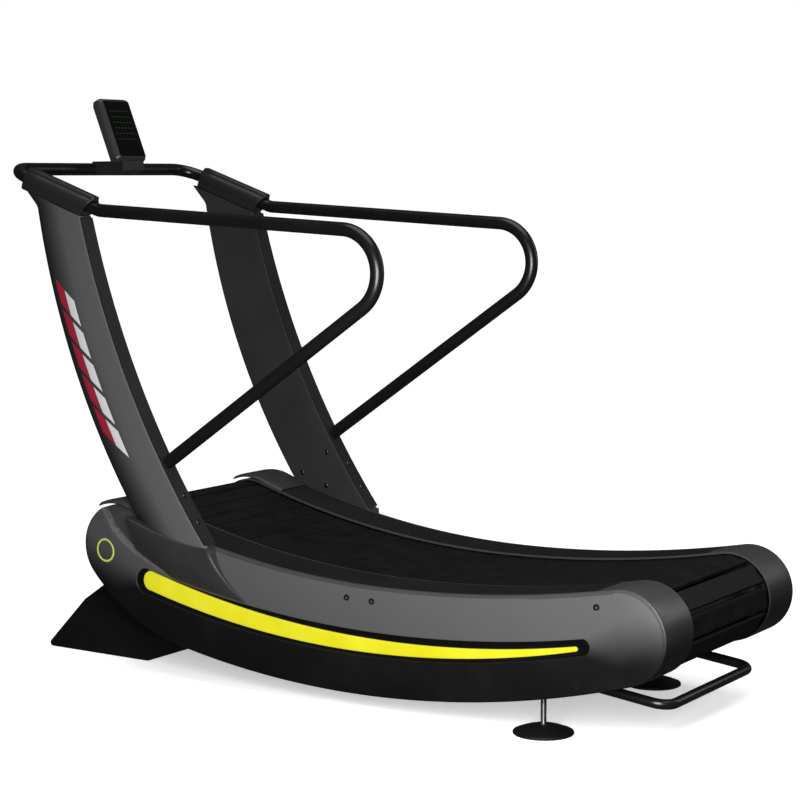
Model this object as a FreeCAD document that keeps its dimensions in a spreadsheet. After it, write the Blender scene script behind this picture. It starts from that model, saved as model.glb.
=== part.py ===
import FreeCAD, Part
import math
import os
import Sketcher

# Curved manual treadmill, in millimetres.
# +X points to the machine's rear (the user faces -X), +Y to the user's right, +Z up.
# The origin is on the floor, below the middle of the machine's bounding box.
# The running surface is a loop of slats on two toothless drive belts, which roll over two
# drums and two rows of ball-race rollers fixed to curved steel side rails.

Vector = FreeCAD.Vector
DOWN = 270.0
SIDES = (("left", -1), ("right", 1))

doc = FreeCAD.newDocument("CurvedTreadmill")

# ---------------------------------------------------------------- driving dimensions

DIMENSIONS = (
    # outline of the base, seen from the side
    ("nose_x", -667.5, "centre of the rounded front end"),
    ("tail_x", 971.5, "centre of the rounded rear end"),
    ("end_radius", 123, "radius of both rounded ends"),
    ("dip_x", 242.5, "lowest point of the running curve"),
    ("dip_z", 347, "height of the base at that point"),
    ("front_curve", 2800, "radius of the running curve ahead of the dip"),
    ("rear_curve", 3600, "radius of the running curve behind the dip"),
    ("belly_z", 46, "lowest point of the underside"),
    ("belly_curve", 2900, "radius of the underside"),
    ("chin_curve", 600, "radius that joins underside and front end"),
    # half widths, outwards from the middle plane
    ("slat_half", 237, "end of a slat"),
    ("inner_rim", 242, "inner edge of a side cover"),
    ("rail_inside", 242, "inner face of a steel side rail"),
    ("rail_plate", 6, "thickness of a steel side rail"),
    ("rail_drop", 12, "edge of a side rail below the cover's rim"),
    ("cover_width", 166, "depth of a side cover, from inner rim to outer face"),
    ("cover_wall", 4, "wall of a side cover"),
    ("rim_wall", 5, "wall of the cover's rim"),
    ("strip_thickness", 3, "foot strip on top of the cover"),
    ("strip_width", 159, "width of the foot strip"),
    ("strip_front_x", -590, "front end of the foot strip"),
    ("strip_rear_x", 905, "rear end of the foot strip"),
    ("hood_height", 14, "rise of the front hood over the cover"),
    ("hood_front_x", -733, "front end of the front hood"),
    ("hood_rear_x", -548, "rear end of the front hood"),
    ("hood_width", 166, "width of the front hood"),
    ("hood_rest", 0.3, "gap between the hood and the cover"),
    ("opening_gap", 1.5, "gap round an upright where it passes through a cover"),
    ("opening_top_z", 600, "upper end of the cutters for those openings"),
    ("opening_depth", 50, "depth of those cutters"),
    ("seat_gap", 2, "gap round the lifting handle and the feet's bosses"),
    ("handle_slot_front_x", 760, "front end of the lifting handle's slot"),
    ("handle_slot_rear_x", 895, "rear end of that slot"),
    ("handle_slot_high_z", 168, "upper end of that slot"),
    ("foot_slot_high_z", 126, "upper end of the slots for the feet's bosses"),
    # light strip and its tray in the outer face
    ("tray_floor", 4, "floor of the tray"),
    ("tray_lip", 3.7, "lip of the tray behind the cover's wall"),
    ("tray_flange", 8, "flange of the tray around the slot"),
    ("light_depth", 5.5, "thickness of the light strip"),
    # belt, slats and drums
    ("slat_drop", 8, "top of a slat below the cover's rim"),
    ("slat_thickness", 11.8, "thickness of a slat"),
    ("slat_pitch", 62, "nominal distance from slat to slat"),
    ("slat_gap", 5, "gap between two slats on a straight run"),
    ("slat_rib_height", 22, "depth of the stiffening rib"),
    ("slat_rib_width", 6, "thickness of the stiffening rib"),
    ("slat_rib_half", 195, "half length of the stiffening rib"),
    ("belt_inside", 205, "inner edge of a drive belt"),
    ("belt_width", 30, "width of a drive belt"),
    ("belt_thickness", 6, "thickness of a drive belt"),
    ("belt_drop", 20, "outer face of the drive belt below the rim"),
    ("drum_clearance", 0.3, "gap between drum and drive belt"),
    ("drum_tube_radius", 60, "radius of the drum's tube"),
    ("drum_tube_wall", 4, "wall of the drum's tube"),
    ("pulley_width", 34, "width of the pulley at each end of a drum"),
    ("drum_half", 237, "end of a drum"),
    ("axle_radius", 12.5, "radius of a drum axle"),
    ("bearing_radius", 26, "outer radius of a drum bearing"),
    ("bearing_width", 15, "width of a drum bearing"),
    ("bearing_inside", 214, "inner face of a drum bearing"),
    ("fit_clearance", 0.05, "radial clearance of a running fit"),
    ("roller_radius", 17.5, "radius of a guide roller"),
    ("roller_width", 12, "width of a guide roller"),
    ("roller_count", 12, "guide rollers on each side"),
    ("roller_start", 108, "from an end's centre to the nearest guide roller"),
    ("stud_radius", 5, "radius of a guide roller's stud"),
    ("stud_tip", 4, "length of a stud past its roller"),
    ("axle_tip", 4, "length of an axle past the side rail"),
    ("play", 0.1, "clearance round studs, axles and shanks in their holes"),
    # cross tubes of the frame
    ("cross_tube_width", 60, "cross tube, along X"),
    ("cross_tube_height", 40, "cross tube, along Z"),
    ("cross_tube_wall", 3, "wall of a cross tube"),
    # uprights, each between two arcs
    ("upright_inside", 385, "inner face of an upright"),
    ("upright_channel", 36, "depth of the steel channel"),
    ("upright_wall", 4, "wall of the steel channel"),
    ("upright_cover_depth", 15.5, "depth of the upright's outer cover"),
    ("shell_gap", 0.2, "gap between the upright and its cover or rear strip"),
    ("strip_top_drop", 3, "end of the rear strip below the clamp"),
    ("spigot_root", 3.4, "length of the spigot that is let into the rear strip"),
    ("fin_x", -1000, "tip of the fin at the front of an upright's top"),
    ("fin_foot_z", 1352, "lower end of that fin"),
    ("upright_front_x", 1225, "centre of the front edge's arc"),
    ("upright_front_z", 1720, "height of that centre"),
    ("upright_front_curve", 2204, "radius of the front edge"),
    ("upright_rear_x", 1710, "centre of the rear edge's arc"),
    ("upright_rear_z", 1950, "height of that centre"),
    ("upright_rear_curve", 2545, "radius of the rear edge"),
    ("upright_foot_z", 346, "lower end of an upright"),
    ("rear_strip_wall", 4, "strip on the upright's rear edge"),
    ("rear_strip_width", 50, "width of that strip"),
    ("rear_strip_foot_z", 412, "lower end of that strip"),
    ("spigot_length", 45, "spigot on that strip, inside the handrail's lower end"),
    ("bracket_plate", 10, "plate inside the upright's foot"),
    ("bracket_top_z", 600, "upper end of that plate"),
    ("bracket_low_z", 352, "lower end of that plate"),
    ("bracket_edge", 12, "edge of that plate inside the upright's edge"),
    ("bracket_arm", 40, "square arms that carry the plate"),
    ("boot_depth", 33, "depth of the boot around the upright's foot"),
    ("boot_skin", 3.5, "wall of the boot outside the upright"),
    # handrails, clamps and crossbar
    ("tube_radius", 19, "radius of handrails and crossbar"),
    ("tube_wall", 2.5, "wall of handrails and crossbar"),
    ("tube_y", 410, "half distance between the handrails"),
    ("clamp_x", -847.5, "middle of a handrail clamp"),
    ("clamp_z", 1391, "height of that point"),
    ("clamp_tilt", 19, "slope of a handrail clamp, degrees"),
    ("clamp_length", 262, "length of a handrail clamp"),
    ("clamp_width", 58, "width of a handrail clamp"),
    ("clamp_height", 66, "height of a handrail clamp"),
    ("clamp_bore", 19.2, "radius of the clamp's bore"),
    ("clamp_round", 22, "rounding of the clamp's long edges"),
    ("shoulder_reach", 151, "from the clamp's middle to the handrail's shoulder"),
    ("shoulder_bend", 70, "bend radius of the shoulder"),
    ("handrail_corner_x", 479, "where the handrail's two legs would meet"),
    ("handrail_corner_z", 1284, "height of that point"),
    ("handrail_bend", 115, "bend radius of the handrail's rear end"),
    ("handrail_foot_x", -461.6, "lower end of the handrail"),
    ("handrail_foot_z", 633.7, "height of that point"),
    ("crossbar_x", -1047, "middle line of the crossbar"),
    ("crossbar_bend", 70, "bend radius of the crossbar's corners"),
    ("tube_gap", 6, "gap between crossbar and handrail inside a clamp"),
    # console
    ("console_half", 70, "half width of the console"),
    ("console_height", 205, "height of the console's face"),
    ("console_depth", 46, "thickness of the console"),
    ("console_tilt", 22.3, "lean of the console's face, degrees"),
    ("console_bevel", 14, "bevel at the back of the console"),
    ("console_x", -917, "lower edge of the console's face"),
    ("console_z", 1489, "height of that edge"),
    ("lens_margin", 9, "frame around the console's lens"),
    ("lens_depth", 2, "thickness of the lens"),
    ("bracket_half", 50, "half width of the console's bracket"),
    ("bracket_bottom", 1443, "underside of the console's bracket"),
    ("bracket_offset", 3, "front of the bracket's saddle behind the crossbar's axis"),
    ("bracket_lip", 5, "height of the saddle above the crossbar"),
    ("bracket_lip_width", 12, "width of the saddle's upper end"),
    ("bracket_set_back", 6, "front of the bracket behind the console's face"),
    # front stand
    ("stand_half", 242, "half width of the front stand"),
    ("stand_wall", 5, "wall of the front stand"),
    ("stand_cheek", 4, "side plate of the stand, which goes up to a side rail"),
    ("stand_gap", 6, "gap between stand and slat covers"),
    ("stand_toe_x", -1074.5, "front end of the stand on the floor"),
    ("stand_heel_x", -686.5, "rear end of the stand on the floor"),
    ("stand_toe_round", 10, "rounding of the stand's front edge"),
    # transport wheels
    ("wheel_x", -1070, "axis of the transport wheels"),
    ("wheel_z", 28, "height of that axis"),
    ("wheel_radius", 24.5, "radius of a transport wheel"),
    ("wheel_width", 24, "width of a transport wheel"),
    ("wheel_y", 130, "middle of a transport wheel"),
    ("wheel_bolt", 5, "radius of a transport wheel's bolt"),
    ("wheel_pocket", 36, "width of the pocket for a wheel"),
    ("pocket_reach", 40, "depth of that pocket behind the wheel's axis"),
    ("pocket_rise", 36, "height of that pocket above the wheel's axis"),
    ("wheel_cheek", 3, "plates of a wheel's bracket"),
    ("cheek_front", 9, "reach of a bracket's cheek ahead of the axis"),
    ("cheek_rear", 39.5, "reach of a bracket's cheek behind the axis"),
    ("cheek_low", 12, "reach of a bracket's cheek below the axis"),
    ("cheek_high", 35, "reach of a bracket's cheek above the axis"),
    # rear feet and lifting handle
    ("foot_x", 706.5, "axis of the rear feet"),
    ("foot_y", 318, "half distance between the rear feet"),
    ("foot_radius", 80, "radius of a foot's pad"),
    ("foot_height", 24, "height of a foot's pad"),
    ("foot_rim", 6, "height of the pad's rim"),
    ("foot_stud", 8, "radius of a foot's stud"),
    ("foot_stud_top", 215, "upper end of a foot's stud"),
    ("foot_stud_low", 14, "lower end of a foot's stud, inside its pad"),
    ("foot_arm_half", 25, "half width of the arm that carries a foot"),
    ("foot_boss_low", 128, "lower face of the threaded boss"),
    ("foot_boss_high", 158, "upper face of the threaded boss"),
    ("foot_boss_radius", 18, "radius of the threaded boss"),
    ("handle_radius", 13.5, "radius of the lifting handle's tube"),
    ("handle_wall", 2.5, "wall of the lifting handle's tube"),
    ("handle_half", 261.6, "half width of the lifting handle"),
    ("handle_rear_x", 1034.5, "rear bar of the lifting handle"),
    ("handle_rear_z", 103, "height of the rear bar"),
    ("handle_front_x", 745, "front ends of the lifting handle"),
    ("handle_front_z", 137.8, "height of those ends"),
    ("handle_bend", 45, "bend radius of the lifting handle"),
    # fasteners and trim
    ("bolt_radius", 4, "radius of an upright's bolt"),
    ("bolt_head_radius", 8, "radius of its head"),
    ("bolt_head", 4, "height of its head"),
    ("bolt_hole", 4.2, "radius of its hole"),
    ("bolt_end", 6, "length of a bolt past the bracket's plate"),
    ("strip_screw_length", 14, "shank of a rear strip's screw"),
    ("drill_before", 12, "reach of a strip screw's drill inside the upright's edge"),
    ("drill_after", 8, "reach of that drill outside the edge"),
    ("screw_radius", 3, "radius of a cover screw"),
    ("screw_head_radius", 5, "radius of its head"),
    ("screw_sink", 2.5, "depth of its head in the wall"),
    ("screw_head", 2, "height of its head"),
    ("screw_length", 20, "length of its shank"),
    ("standoff_bore", 25, "depth of the standoff's threaded hole"),
    ("standoff_radius", 9, "radius of a standoff between rail and cover"),
    ("ring_x", -702.5, "centre of the ring on the nose"),
    ("ring_z", 358, "height of that centre"),
    ("ring_radius", 35, "outer radius of the ring"),
    ("ring_width", 6, "width of the ring"),
    ("ring_height", 1.6, "height of the ring"),
)

sheet = doc.addObject("Spreadsheet::Sheet", "Dimensions")
for number, (alias, value, meaning) in enumerate(DIMENSIONS, start=1):
    sheet.set(f"A{number}", meaning)
    sheet.set(f"B{number}", str(value))
    sheet.setAlias(f"B{number}", alias)
doc.recompute()


def size(alias):
    """The value of one cell of the sheet."""
    return float(getattr(sheet, alias))


def cell(expression):
    """Put the sheet's name before each alias in an expression such as 'a + b - 2 * c'."""
    aliases = {row[0] for row in DIMENSIONS}
    words = expression.replace("(", "( ").replace(")", " )").split()
    return " ".join(f"Dimensions.{word}" if word in aliases else word for word in words)


def bind(obj, **links):
    """Bind properties to expressions of the sheet's cells; a double underscore is a dot."""
    for name, expression in links.items():
        obj.setExpression(name.replace("__", "."), cell(expression))


# ---------------------------------------------------------------- plane geometry, (x, z)


def polar(centre, radius, degrees):
    """The point at an angle on a circle."""
    turn = math.radians(degrees)
    return (centre[0] + radius * math.cos(turn), centre[1] + radius * math.sin(turn))


def heading(start, end):
    """The direction from one point to another, in degrees from 0 to 360."""
    return math.degrees(math.atan2(end[1] - start[1], end[0] - start[0])) % 360.0


def line(start, end):
    return Part.LineSegment(Vector(start[0], start[1], 0), Vector(end[0], end[1], 0))


def arc(centre, radius, start, end):
    """A counter-clockwise arc between two angles in degrees."""
    circle = Part.Circle(Vector(centre[0], centre[1], 0), Vector(0, 0, 1), radius)
    return Part.ArcOfCircle(circle, math.radians(start), math.radians(end))


def arc_through(start, middle, end):
    points = [Vector(x, z, 0) for x, z in (start, middle, end)]
    return Part.Arc(*points)


def ring(centre, radius):
    return Part.Circle(Vector(centre[0], centre[1], 0), Vector(0, 0, 1), radius)


def polygon(*points):
    """A closed outline of straight edges."""
    following = points[1:] + points[:1]
    return [line(start, end) for start, end in zip(points, following)]


def rectangle(low_x, low_z, high_x, high_z):
    return polygon((low_x, low_z), (high_x, low_z), (high_x, high_z), (low_x, high_z))


def inset(points, distance):
    """Move every edge of a counter-clockwise polygon inwards by the same distance."""
    count = len(points)
    moved = []
    for index in range(count):
        before, here, after = points[index - 1], points[index], points[(index + 1) % count]
        first = math.radians(heading(before, here))
        second = math.radians(heading(here, after))
        reach = distance / math.cos((second - first) / 2)
        middle = first + (second - first) / 2 + math.pi / 2
        if math.cos((second - first) / 2) < 0:
            reach = abs(reach)
            middle += math.pi
        moved.append((here[0] + reach * math.cos(middle), here[1] + reach * math.sin(middle)))
    return moved


def crossing(centre_a, radius_a, centre_b, radius_b):
    """The first of the two points where two circles cross, left of the line from a to b."""
    gap = math.dist(centre_a, centre_b)
    along = (radius_a**2 - radius_b**2 + gap**2) / (2 * gap)
    across = math.sqrt(radius_a**2 - along**2)
    unit = ((centre_b[0] - centre_a[0]) / gap, (centre_b[1] - centre_a[1]) / gap)
    return (
        centre_a[0] + along * unit[0] + across * unit[1],
        centre_a[1] + along * unit[1] - across * unit[0],
    )


# ---------------------------------------------------------------- outline of the base
# Six tangent arcs: two over the running surface, the tail, the belly, the chin, the nose.

END = size("end_radius")
FRONT_TOP = (size("dip_x"), size("dip_z") + size("front_curve"))
REAR_TOP = (size("dip_x"), size("dip_z") + size("rear_curve"))


def end_height(x, top, curve):
    """Height of an end's centre, so that the end touches the running curve."""
    return top[1] - math.sqrt((curve + END) ** 2 - (x - top[0]) ** 2)


NOSE = (size("nose_x"), end_height(size("nose_x"), FRONT_TOP, size("front_curve")))
TAIL = (size("tail_x"), end_height(size("tail_x"), REAR_TOP, size("rear_curve")))
BELLY_HEIGHT = size("belly_z") + size("belly_curve")
BELLY_REACH = math.sqrt((size("belly_curve") - END) ** 2 - (BELLY_HEIGHT - TAIL[1]) ** 2)
BELLY = (TAIL[0] - BELLY_REACH, BELLY_HEIGHT)
CHIN = crossing(NOSE, size("chin_curve") - END, BELLY, size("belly_curve") - size("chin_curve"))

# centre, radius, sign of the inset, start and end angle, in the direction of travel
BASE_ARCS = (
    (FRONT_TOP, size("front_curve"), 1, heading(FRONT_TOP, NOSE), DOWN),
    (REAR_TOP, size("rear_curve"), 1, DOWN, heading(REAR_TOP, TAIL)),
    (TAIL, END, -1, heading(TAIL, REAR_TOP), heading(BELLY, TAIL) - 360.0),
    (BELLY, size("belly_curve"), -1, heading(BELLY, TAIL), heading(BELLY, CHIN)),
    (CHIN, size("chin_curve"), -1, heading(BELLY, CHIN), heading(CHIN, NOSE)),
    (NOSE, END, -1, heading(CHIN, NOSE), heading(NOSE, FRONT_TOP)),
)
RUNNING_ARCS = 2


def base_outline(drop):
    """The base's closed outline, moved inwards by a distance."""
    edges = []
    for centre, radius, sign, start, end in BASE_ARCS:
        edges.append(arc(centre, radius + sign * drop, min(start, end), max(start, end)))
    return edges


def top_height(x, drop=0.0):
    """Height of the running curve at x, lowered by a distance along its normal."""
    centre, curve = (FRONT_TOP, size("front_curve"))
    if x > size("dip_x"):
        centre, curve = (REAR_TOP, size("rear_curve"))
    return centre[1] - math.sqrt((curve + drop) ** 2 - (x - centre[0]) ** 2)


def top_band(front_x, rear_x, upper, lower):
    """The band between two offsets of the running curve."""
    dip = size("dip_x")
    corners = []
    for drop in (upper, lower):
        corners.append([(x, top_height(x, drop)) for x in (front_x, dip, rear_x)])
    high, low = corners
    edges = [line(low[0], high[0]), line(high[2], low[2])]
    for drop, (front, _, rear) in ((upper, high), (lower, low)):
        front_end = heading(FRONT_TOP, front)
        rear_end = heading(REAR_TOP, rear)
        edges.append(arc(FRONT_TOP, size("front_curve") + drop, front_end, DOWN))
        edges.append(arc(REAR_TOP, size("rear_curve") + drop, DOWN, rear_end))
    return edges


# ---------------------------------------------------------------- outline of an upright

FRONT_EDGE = (size("upright_front_x"), size("upright_front_z"))
REAR_EDGE = (size("upright_rear_x"), size("upright_rear_z"))
CLAMP = (size("clamp_x"), size("clamp_z"))
TILT = size("clamp_tilt")


def edge_x(centre, radius, z):
    return centre[0] - math.sqrt(radius**2 - (z - centre[1]) ** 2)


def saddle_z(x, drop=0.0):
    """Height of the clamp's underside at x, lowered by a distance."""
    slope = math.tan(math.radians(TILT))
    below = (size("clamp_height") / 2 + drop) / math.cos(math.radians(TILT))
    return CLAMP[1] - slope * (x - CLAMP[0]) - below


def saddle_point(centre, radius, drop):
    """Where an edge of the upright meets the clamp's underside."""
    z = CLAMP[1]
    for _ in range(40):
        z = saddle_z(edge_x(centre, radius, z), drop)
    return (edge_x(centre, radius, z), z)


def upright_outline(inner, low_z, top_drop, high_z=None):
    """An upright's outline, its edges moved inwards: two arcs, a level foot, and a top along
    the clamp's underside that runs out into a pointed fin. With high_z the top is level."""
    front_radius = size("upright_front_curve") - inner
    rear_radius = size("upright_rear_curve") + inner
    front_low = (edge_x(FRONT_EDGE, front_radius, low_z), low_z)
    rear_low = (edge_x(REAR_EDGE, rear_radius, low_z), low_z)
    if high_z is None:
        fin_foot = size("fin_foot_z")
        tip_x = size("fin_x") + 2 * inner
        front_high = (edge_x(FRONT_EDGE, front_radius, fin_foot), fin_foot)
        tip = (tip_x, saddle_z(tip_x, top_drop))
        rear_high = saddle_point(REAR_EDGE, rear_radius, top_drop)
        top = [line(rear_high, tip), line(tip, front_high)]
    else:
        front_high = (edge_x(FRONT_EDGE, front_radius, high_z), high_z)
        rear_high = (edge_x(REAR_EDGE, rear_radius, high_z), high_z)
        top = [line(rear_high, front_high)]
    return [
        arc(FRONT_EDGE, front_radius, heading(FRONT_EDGE, front_high), heading(FRONT_EDGE, front_low)),
        line(front_low, rear_low),
        arc(REAR_EDGE, rear_radius, heading(REAR_EDGE, rear_high), heading(REAR_EDGE, rear_low)),
        *top,
    ]


# ---------------------------------------------------------------- features


def add_body(name):
    body = doc.addObject("PartDesign::Body", name)
    body.Label = name
    return body


def add_sketch(body, role, edges, **links):
    """A sketch on one of the body's own origin planes."""
    sketch = body.newObject("Sketcher::SketchObject", f"{body.Name}_sketch")
    plane = [item for item in body.Origin.OriginFeatures if item.Role == role][0]
    sketch.AttachmentSupport = [(plane, "")]
    sketch.MapMode = "FlatFace"
    sketch.addGeometry(edges, False)
    bind(sketch, **links)
    return sketch


def outward_sketch(body, side, edges, start):
    """A sketch in the XZ plane, set outwards by an expression; its normal is -Y."""
    sign = "" if side < 0 else "-1 * "
    return add_sketch(body, "XZ_Plane", edges, AttachmentOffset__Base__z=f"{sign}( {start} )")


def slab(name, side, edges, start, depth):
    """A plate in the XZ plane, from start outwards by depth (side 0: across the middle)."""
    body = add_body(name)
    if side == 0:
        sketch = outward_sketch(body, 1, edges, start)
    else:
        sketch = outward_sketch(body, side, edges, start)
    pad = body.newObject("PartDesign::Pad", f"{name}_pad")
    pad.Profile = sketch
    pad.Reversed = side > 0
    bind(pad, Length=depth)
    doc.recompute()
    return body


def cut(body, side, edges, start, depth):
    """Cut an outline out of a slab, from start outwards by depth."""
    before = body.Shape.Volume
    sketch = outward_sketch(body, side or 1, edges, start)
    pocket = body.newObject("PartDesign::Pocket", f"{body.Name}_pocket")
    pocket.Profile = sketch
    pocket.Reversed = side <= 0
    bind(pocket, Length=depth)
    doc.recompute()
    if not body.Shape.Volume < before - 1.0:
        raise ValueError(f"{body.Label}: a pocket cuts nothing")
    return body


def primitive(kind, name, place, **links):
    """A Part primitive at a place, its sizes bound to the sheet."""
    item = doc.addObject(f"Part::{kind}", name)
    item.Label = name
    bind(item, **links)
    item.Placement = place
    return item


def across(x, z, y):
    """A placement whose Z axis points to -Y, for round pieces that lie across."""
    return FreeCAD.Placement(Vector(x, y, z), FreeCAD.Rotation(Vector(1, 0, 0), 90))


def boolean(kind, name, base, tools):
    """Cut or fuse objects that stay in the document as the piece's history."""
    if kind == "Cut":
        joined = doc.addObject("Part::MultiFuse", f"{name}_tools") if len(tools) > 1 else tools[0]
        if len(tools) > 1:
            joined.Shapes = tools
        result = doc.addObject("Part::Cut", name)
        result.Base = base
        result.Tool = joined
    else:
        result = doc.addObject("Part::MultiFuse", name)
        result.Shapes = [base] + tools
    result.Label = name
    doc.recompute()
    return result


def group(name, members):
    """Several equal solids that make one node."""
    item = doc.addObject("Part::Compound", name)
    item.Label = name
    item.Links = members
    doc.recompute()
    return item


def shape_feature(name, shape):
    item = doc.addObject("Part::Feature", name)
    item.Label = name
    item.Shape = shape
    item.Placement = FreeCAD.Placement()
    return item


NODES = []


def keep(item):
    """List an object as a node of the part."""
    NODES.append(item)
    return item


# ---------------------------------------------------------------- frame


def left_and_right(make):
    for side_name, side in SIDES:
        make(side_name, side)


ROLLER_DROP = size("belt_drop") + size("belt_thickness") + size("play") + size("roller_radius")


def roller_places():
    """Centres of the guide rollers, evenly spaced in x along the running curve."""
    count = int(size("roller_count"))
    first, last = size("nose_x") + size("roller_start"), size("tail_x") - size("roller_start")
    xs = [first + (last - first) * index / (count - 1) for index in range(count)]
    return [(x, top_height(x, ROLLER_DROP)) for x in xs]


CROSS_TUBES = {
    "front_cross_tube": (-470.0, 275.0),
    "middle_cross_tube": (242.5, 196.0),
    "rear_cross_tube": (730.0, 240.0),
}
STANDOFFS = ((144.5, 310.0), (225.5, 308.0), (902.5, 368.0), (850.5, 158.0))


def make_side_rail(side_name, side):
    edges = base_outline(size("rail_drop"))
    edges += [ring(centre, size("axle_radius") + size("play")) for centre in (NOSE, TAIL)]
    edges += [ring(place, size("stud_radius") + size("play")) for place in roller_places()]
    keep(slab(f"{side_name}_side_rail", side, edges, "rail_inside", "rail_plate"))


left_and_right(make_side_rail)

for tube_name, (tube_x, tube_z) in CROSS_TUBES.items():
    half_w = size("cross_tube_width") / 2
    half_h = size("cross_tube_height") / 2
    wall = size("cross_tube_wall")
    outer = rectangle(tube_x - half_w, tube_z - half_h, tube_x + half_w, tube_z + half_h)
    hollow = rectangle(
        tube_x - half_w + wall, tube_z - half_h + wall, tube_x + half_w - wall, tube_z + half_h - wall
    )
    keep(slab(tube_name, 0, outer + hollow, "rail_inside", "2 * rail_inside"))

# ---------------------------------------------------------------- front stand and its wheels

STAND_TOE = size("stand_toe_x")
STAND_HEEL = size("stand_heel_x")
STAND_BROW = ((-931.5, 161.0), (-850.5, 216.0), (-780.0, 262.0))
STAND_BACK = (-630.0, 135.0)
STAND_INNER_TOP = (-780.0, 254.0)
STAND_HORN = ((-573.5, 270.0), (-600.0, 335.0), (-725.0, 335.0))


def stand_outline():
    """Toe, sloping front, a top that reaches into the base, and a leaning back."""
    round_toe = size("stand_toe_round")
    slope = heading((STAND_TOE, 0.0), STAND_BROW[0])
    toe_centre = (STAND_TOE + round_toe, round_toe)
    toe_leave = polar(toe_centre, round_toe, slope + 90.0)
    return [
        arc(toe_centre, round_toe, slope + 90.0, DOWN),
        line((toe_centre[0], 0.0), (STAND_HEEL, 0.0)),
        line((STAND_HEEL, 0.0), STAND_HORN[0]),
        line(STAND_HORN[0], STAND_HORN[1]),
        line(STAND_HORN[1], STAND_HORN[2]),
        line(STAND_HORN[2], STAND_BROW[2]),
        line(STAND_BROW[2], STAND_BROW[1]),
        line(STAND_BROW[1], STAND_BROW[0]),
        line(STAND_BROW[0], toe_leave),
    ]


stand = slab("front_stand", 0, stand_outline(), "stand_half", "2 * stand_half")
cheek_inside = "( stand_half - stand_cheek )"
cut(stand, 0, base_outline(-size("stand_gap")), cheek_inside, f"2 * {cheek_inside}")
wall = size("stand_wall")
hollow = [(STAND_TOE, -2 * wall), (STAND_HEEL, -2 * wall), STAND_BACK]
hollow += [STAND_INNER_TOP, STAND_BROW[1], STAND_BROW[0]]
cut(stand, 0, polygon(*inset(hollow, wall)), cheek_inside, f"2 * {cheek_inside}")
wheel_x, wheel_z = size("wheel_x"), size("wheel_z")
pocket_rear, pocket_top = wheel_x + size("pocket_reach"), wheel_z + size("pocket_rise")
pocket_edges = rectangle(STAND_TOE - size("wheel_pocket"), -wall, pocket_rear, pocket_top)
for side in (-1, 1):
    cut(stand, side, pocket_edges, "( wheel_y - wheel_pocket / 2 )", "wheel_pocket")
keep(stand)


def make_transport_wheel(side_name, side):
    name = f"{side_name}_transport_wheel"
    near = side * size("wheel_y") + size("wheel_width") / 2
    place = across(wheel_x, wheel_z, near)
    tyre = primitive("Cylinder", f"{name}_tread", place, Radius="wheel_radius", Height="wheel_width")
    bore = primitive("Cylinder", f"{name}_bore", place, Radius="wheel_bolt + fit_clearance", Height="wheel_width")
    keep(boolean("Cut", name, tyre, [bore]))


left_and_right(make_transport_wheel)


def make_wheel_bracket(side):
    """Two cheeks and a back plate inside the stand's pocket, with the wheel's bolt."""
    name = f"wheel_bracket_{side + 2}"
    middle = side * size("wheel_y")
    pieces = []
    cheek = size("wheel_cheek")
    low, rear = wheel_z - size("cheek_low"), wheel_x + size("cheek_rear")
    outline = rectangle(wheel_x - size("cheek_front"), low, rear, wheel_z + size("cheek_high"))
    face = Part.Face(Part.Wire([edge.toShape() for edge in outline]))
    face.rotate(Vector(0, 0, 0), Vector(1, 0, 0), 90)
    inner = size("wheel_pocket") / 2 - cheek - 2 * size("play")
    for start in (-inner, inner + cheek):
        plate = doc.addObject("Part::Feature", f"{name}_cheek")
        plate.Shape = face.translated(Vector(0, middle + start, 0)).extrude(Vector(0, -cheek, 0))
        pieces.append(plate)
    corner = Vector(rear - cheek, middle - inner, low)
    place = FreeCAD.Placement(corner, FreeCAD.Rotation())
    back = primitive("Box", f"{name}_back", place, Length="wheel_cheek", Height="cheek_low + cheek_high")
    back.Width = 2 * inner
    bolt_end = inner + cheek / 2
    bolt_place = across(wheel_x, wheel_z, middle + bolt_end)
    bolt = primitive("Cylinder", f"{name}_bolt", bolt_place, Radius="wheel_bolt")
    bolt.Height = 2 * bolt_end
    return boolean("Fuse", name, pieces[0], [pieces[1], back, bolt])


keep(group("wheel_brackets", [make_wheel_bracket(side) for _, side in SIDES]))

# ---------------------------------------------------------------- drums, axles and bearings


def tube_across(name, centre, outer, bore, length, start_y):
    """A round tube that lies across; sizes are expressions."""
    place = across(centre[0], centre[1], start_y)
    body = primitive("Cylinder", f"{name}_outside", place, Radius=outer, Height=length)
    inside = primitive("Cylinder", f"{name}_inside", place, Radius=bore, Height=length)
    return boolean("Cut", name, body, [inside])


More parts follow.
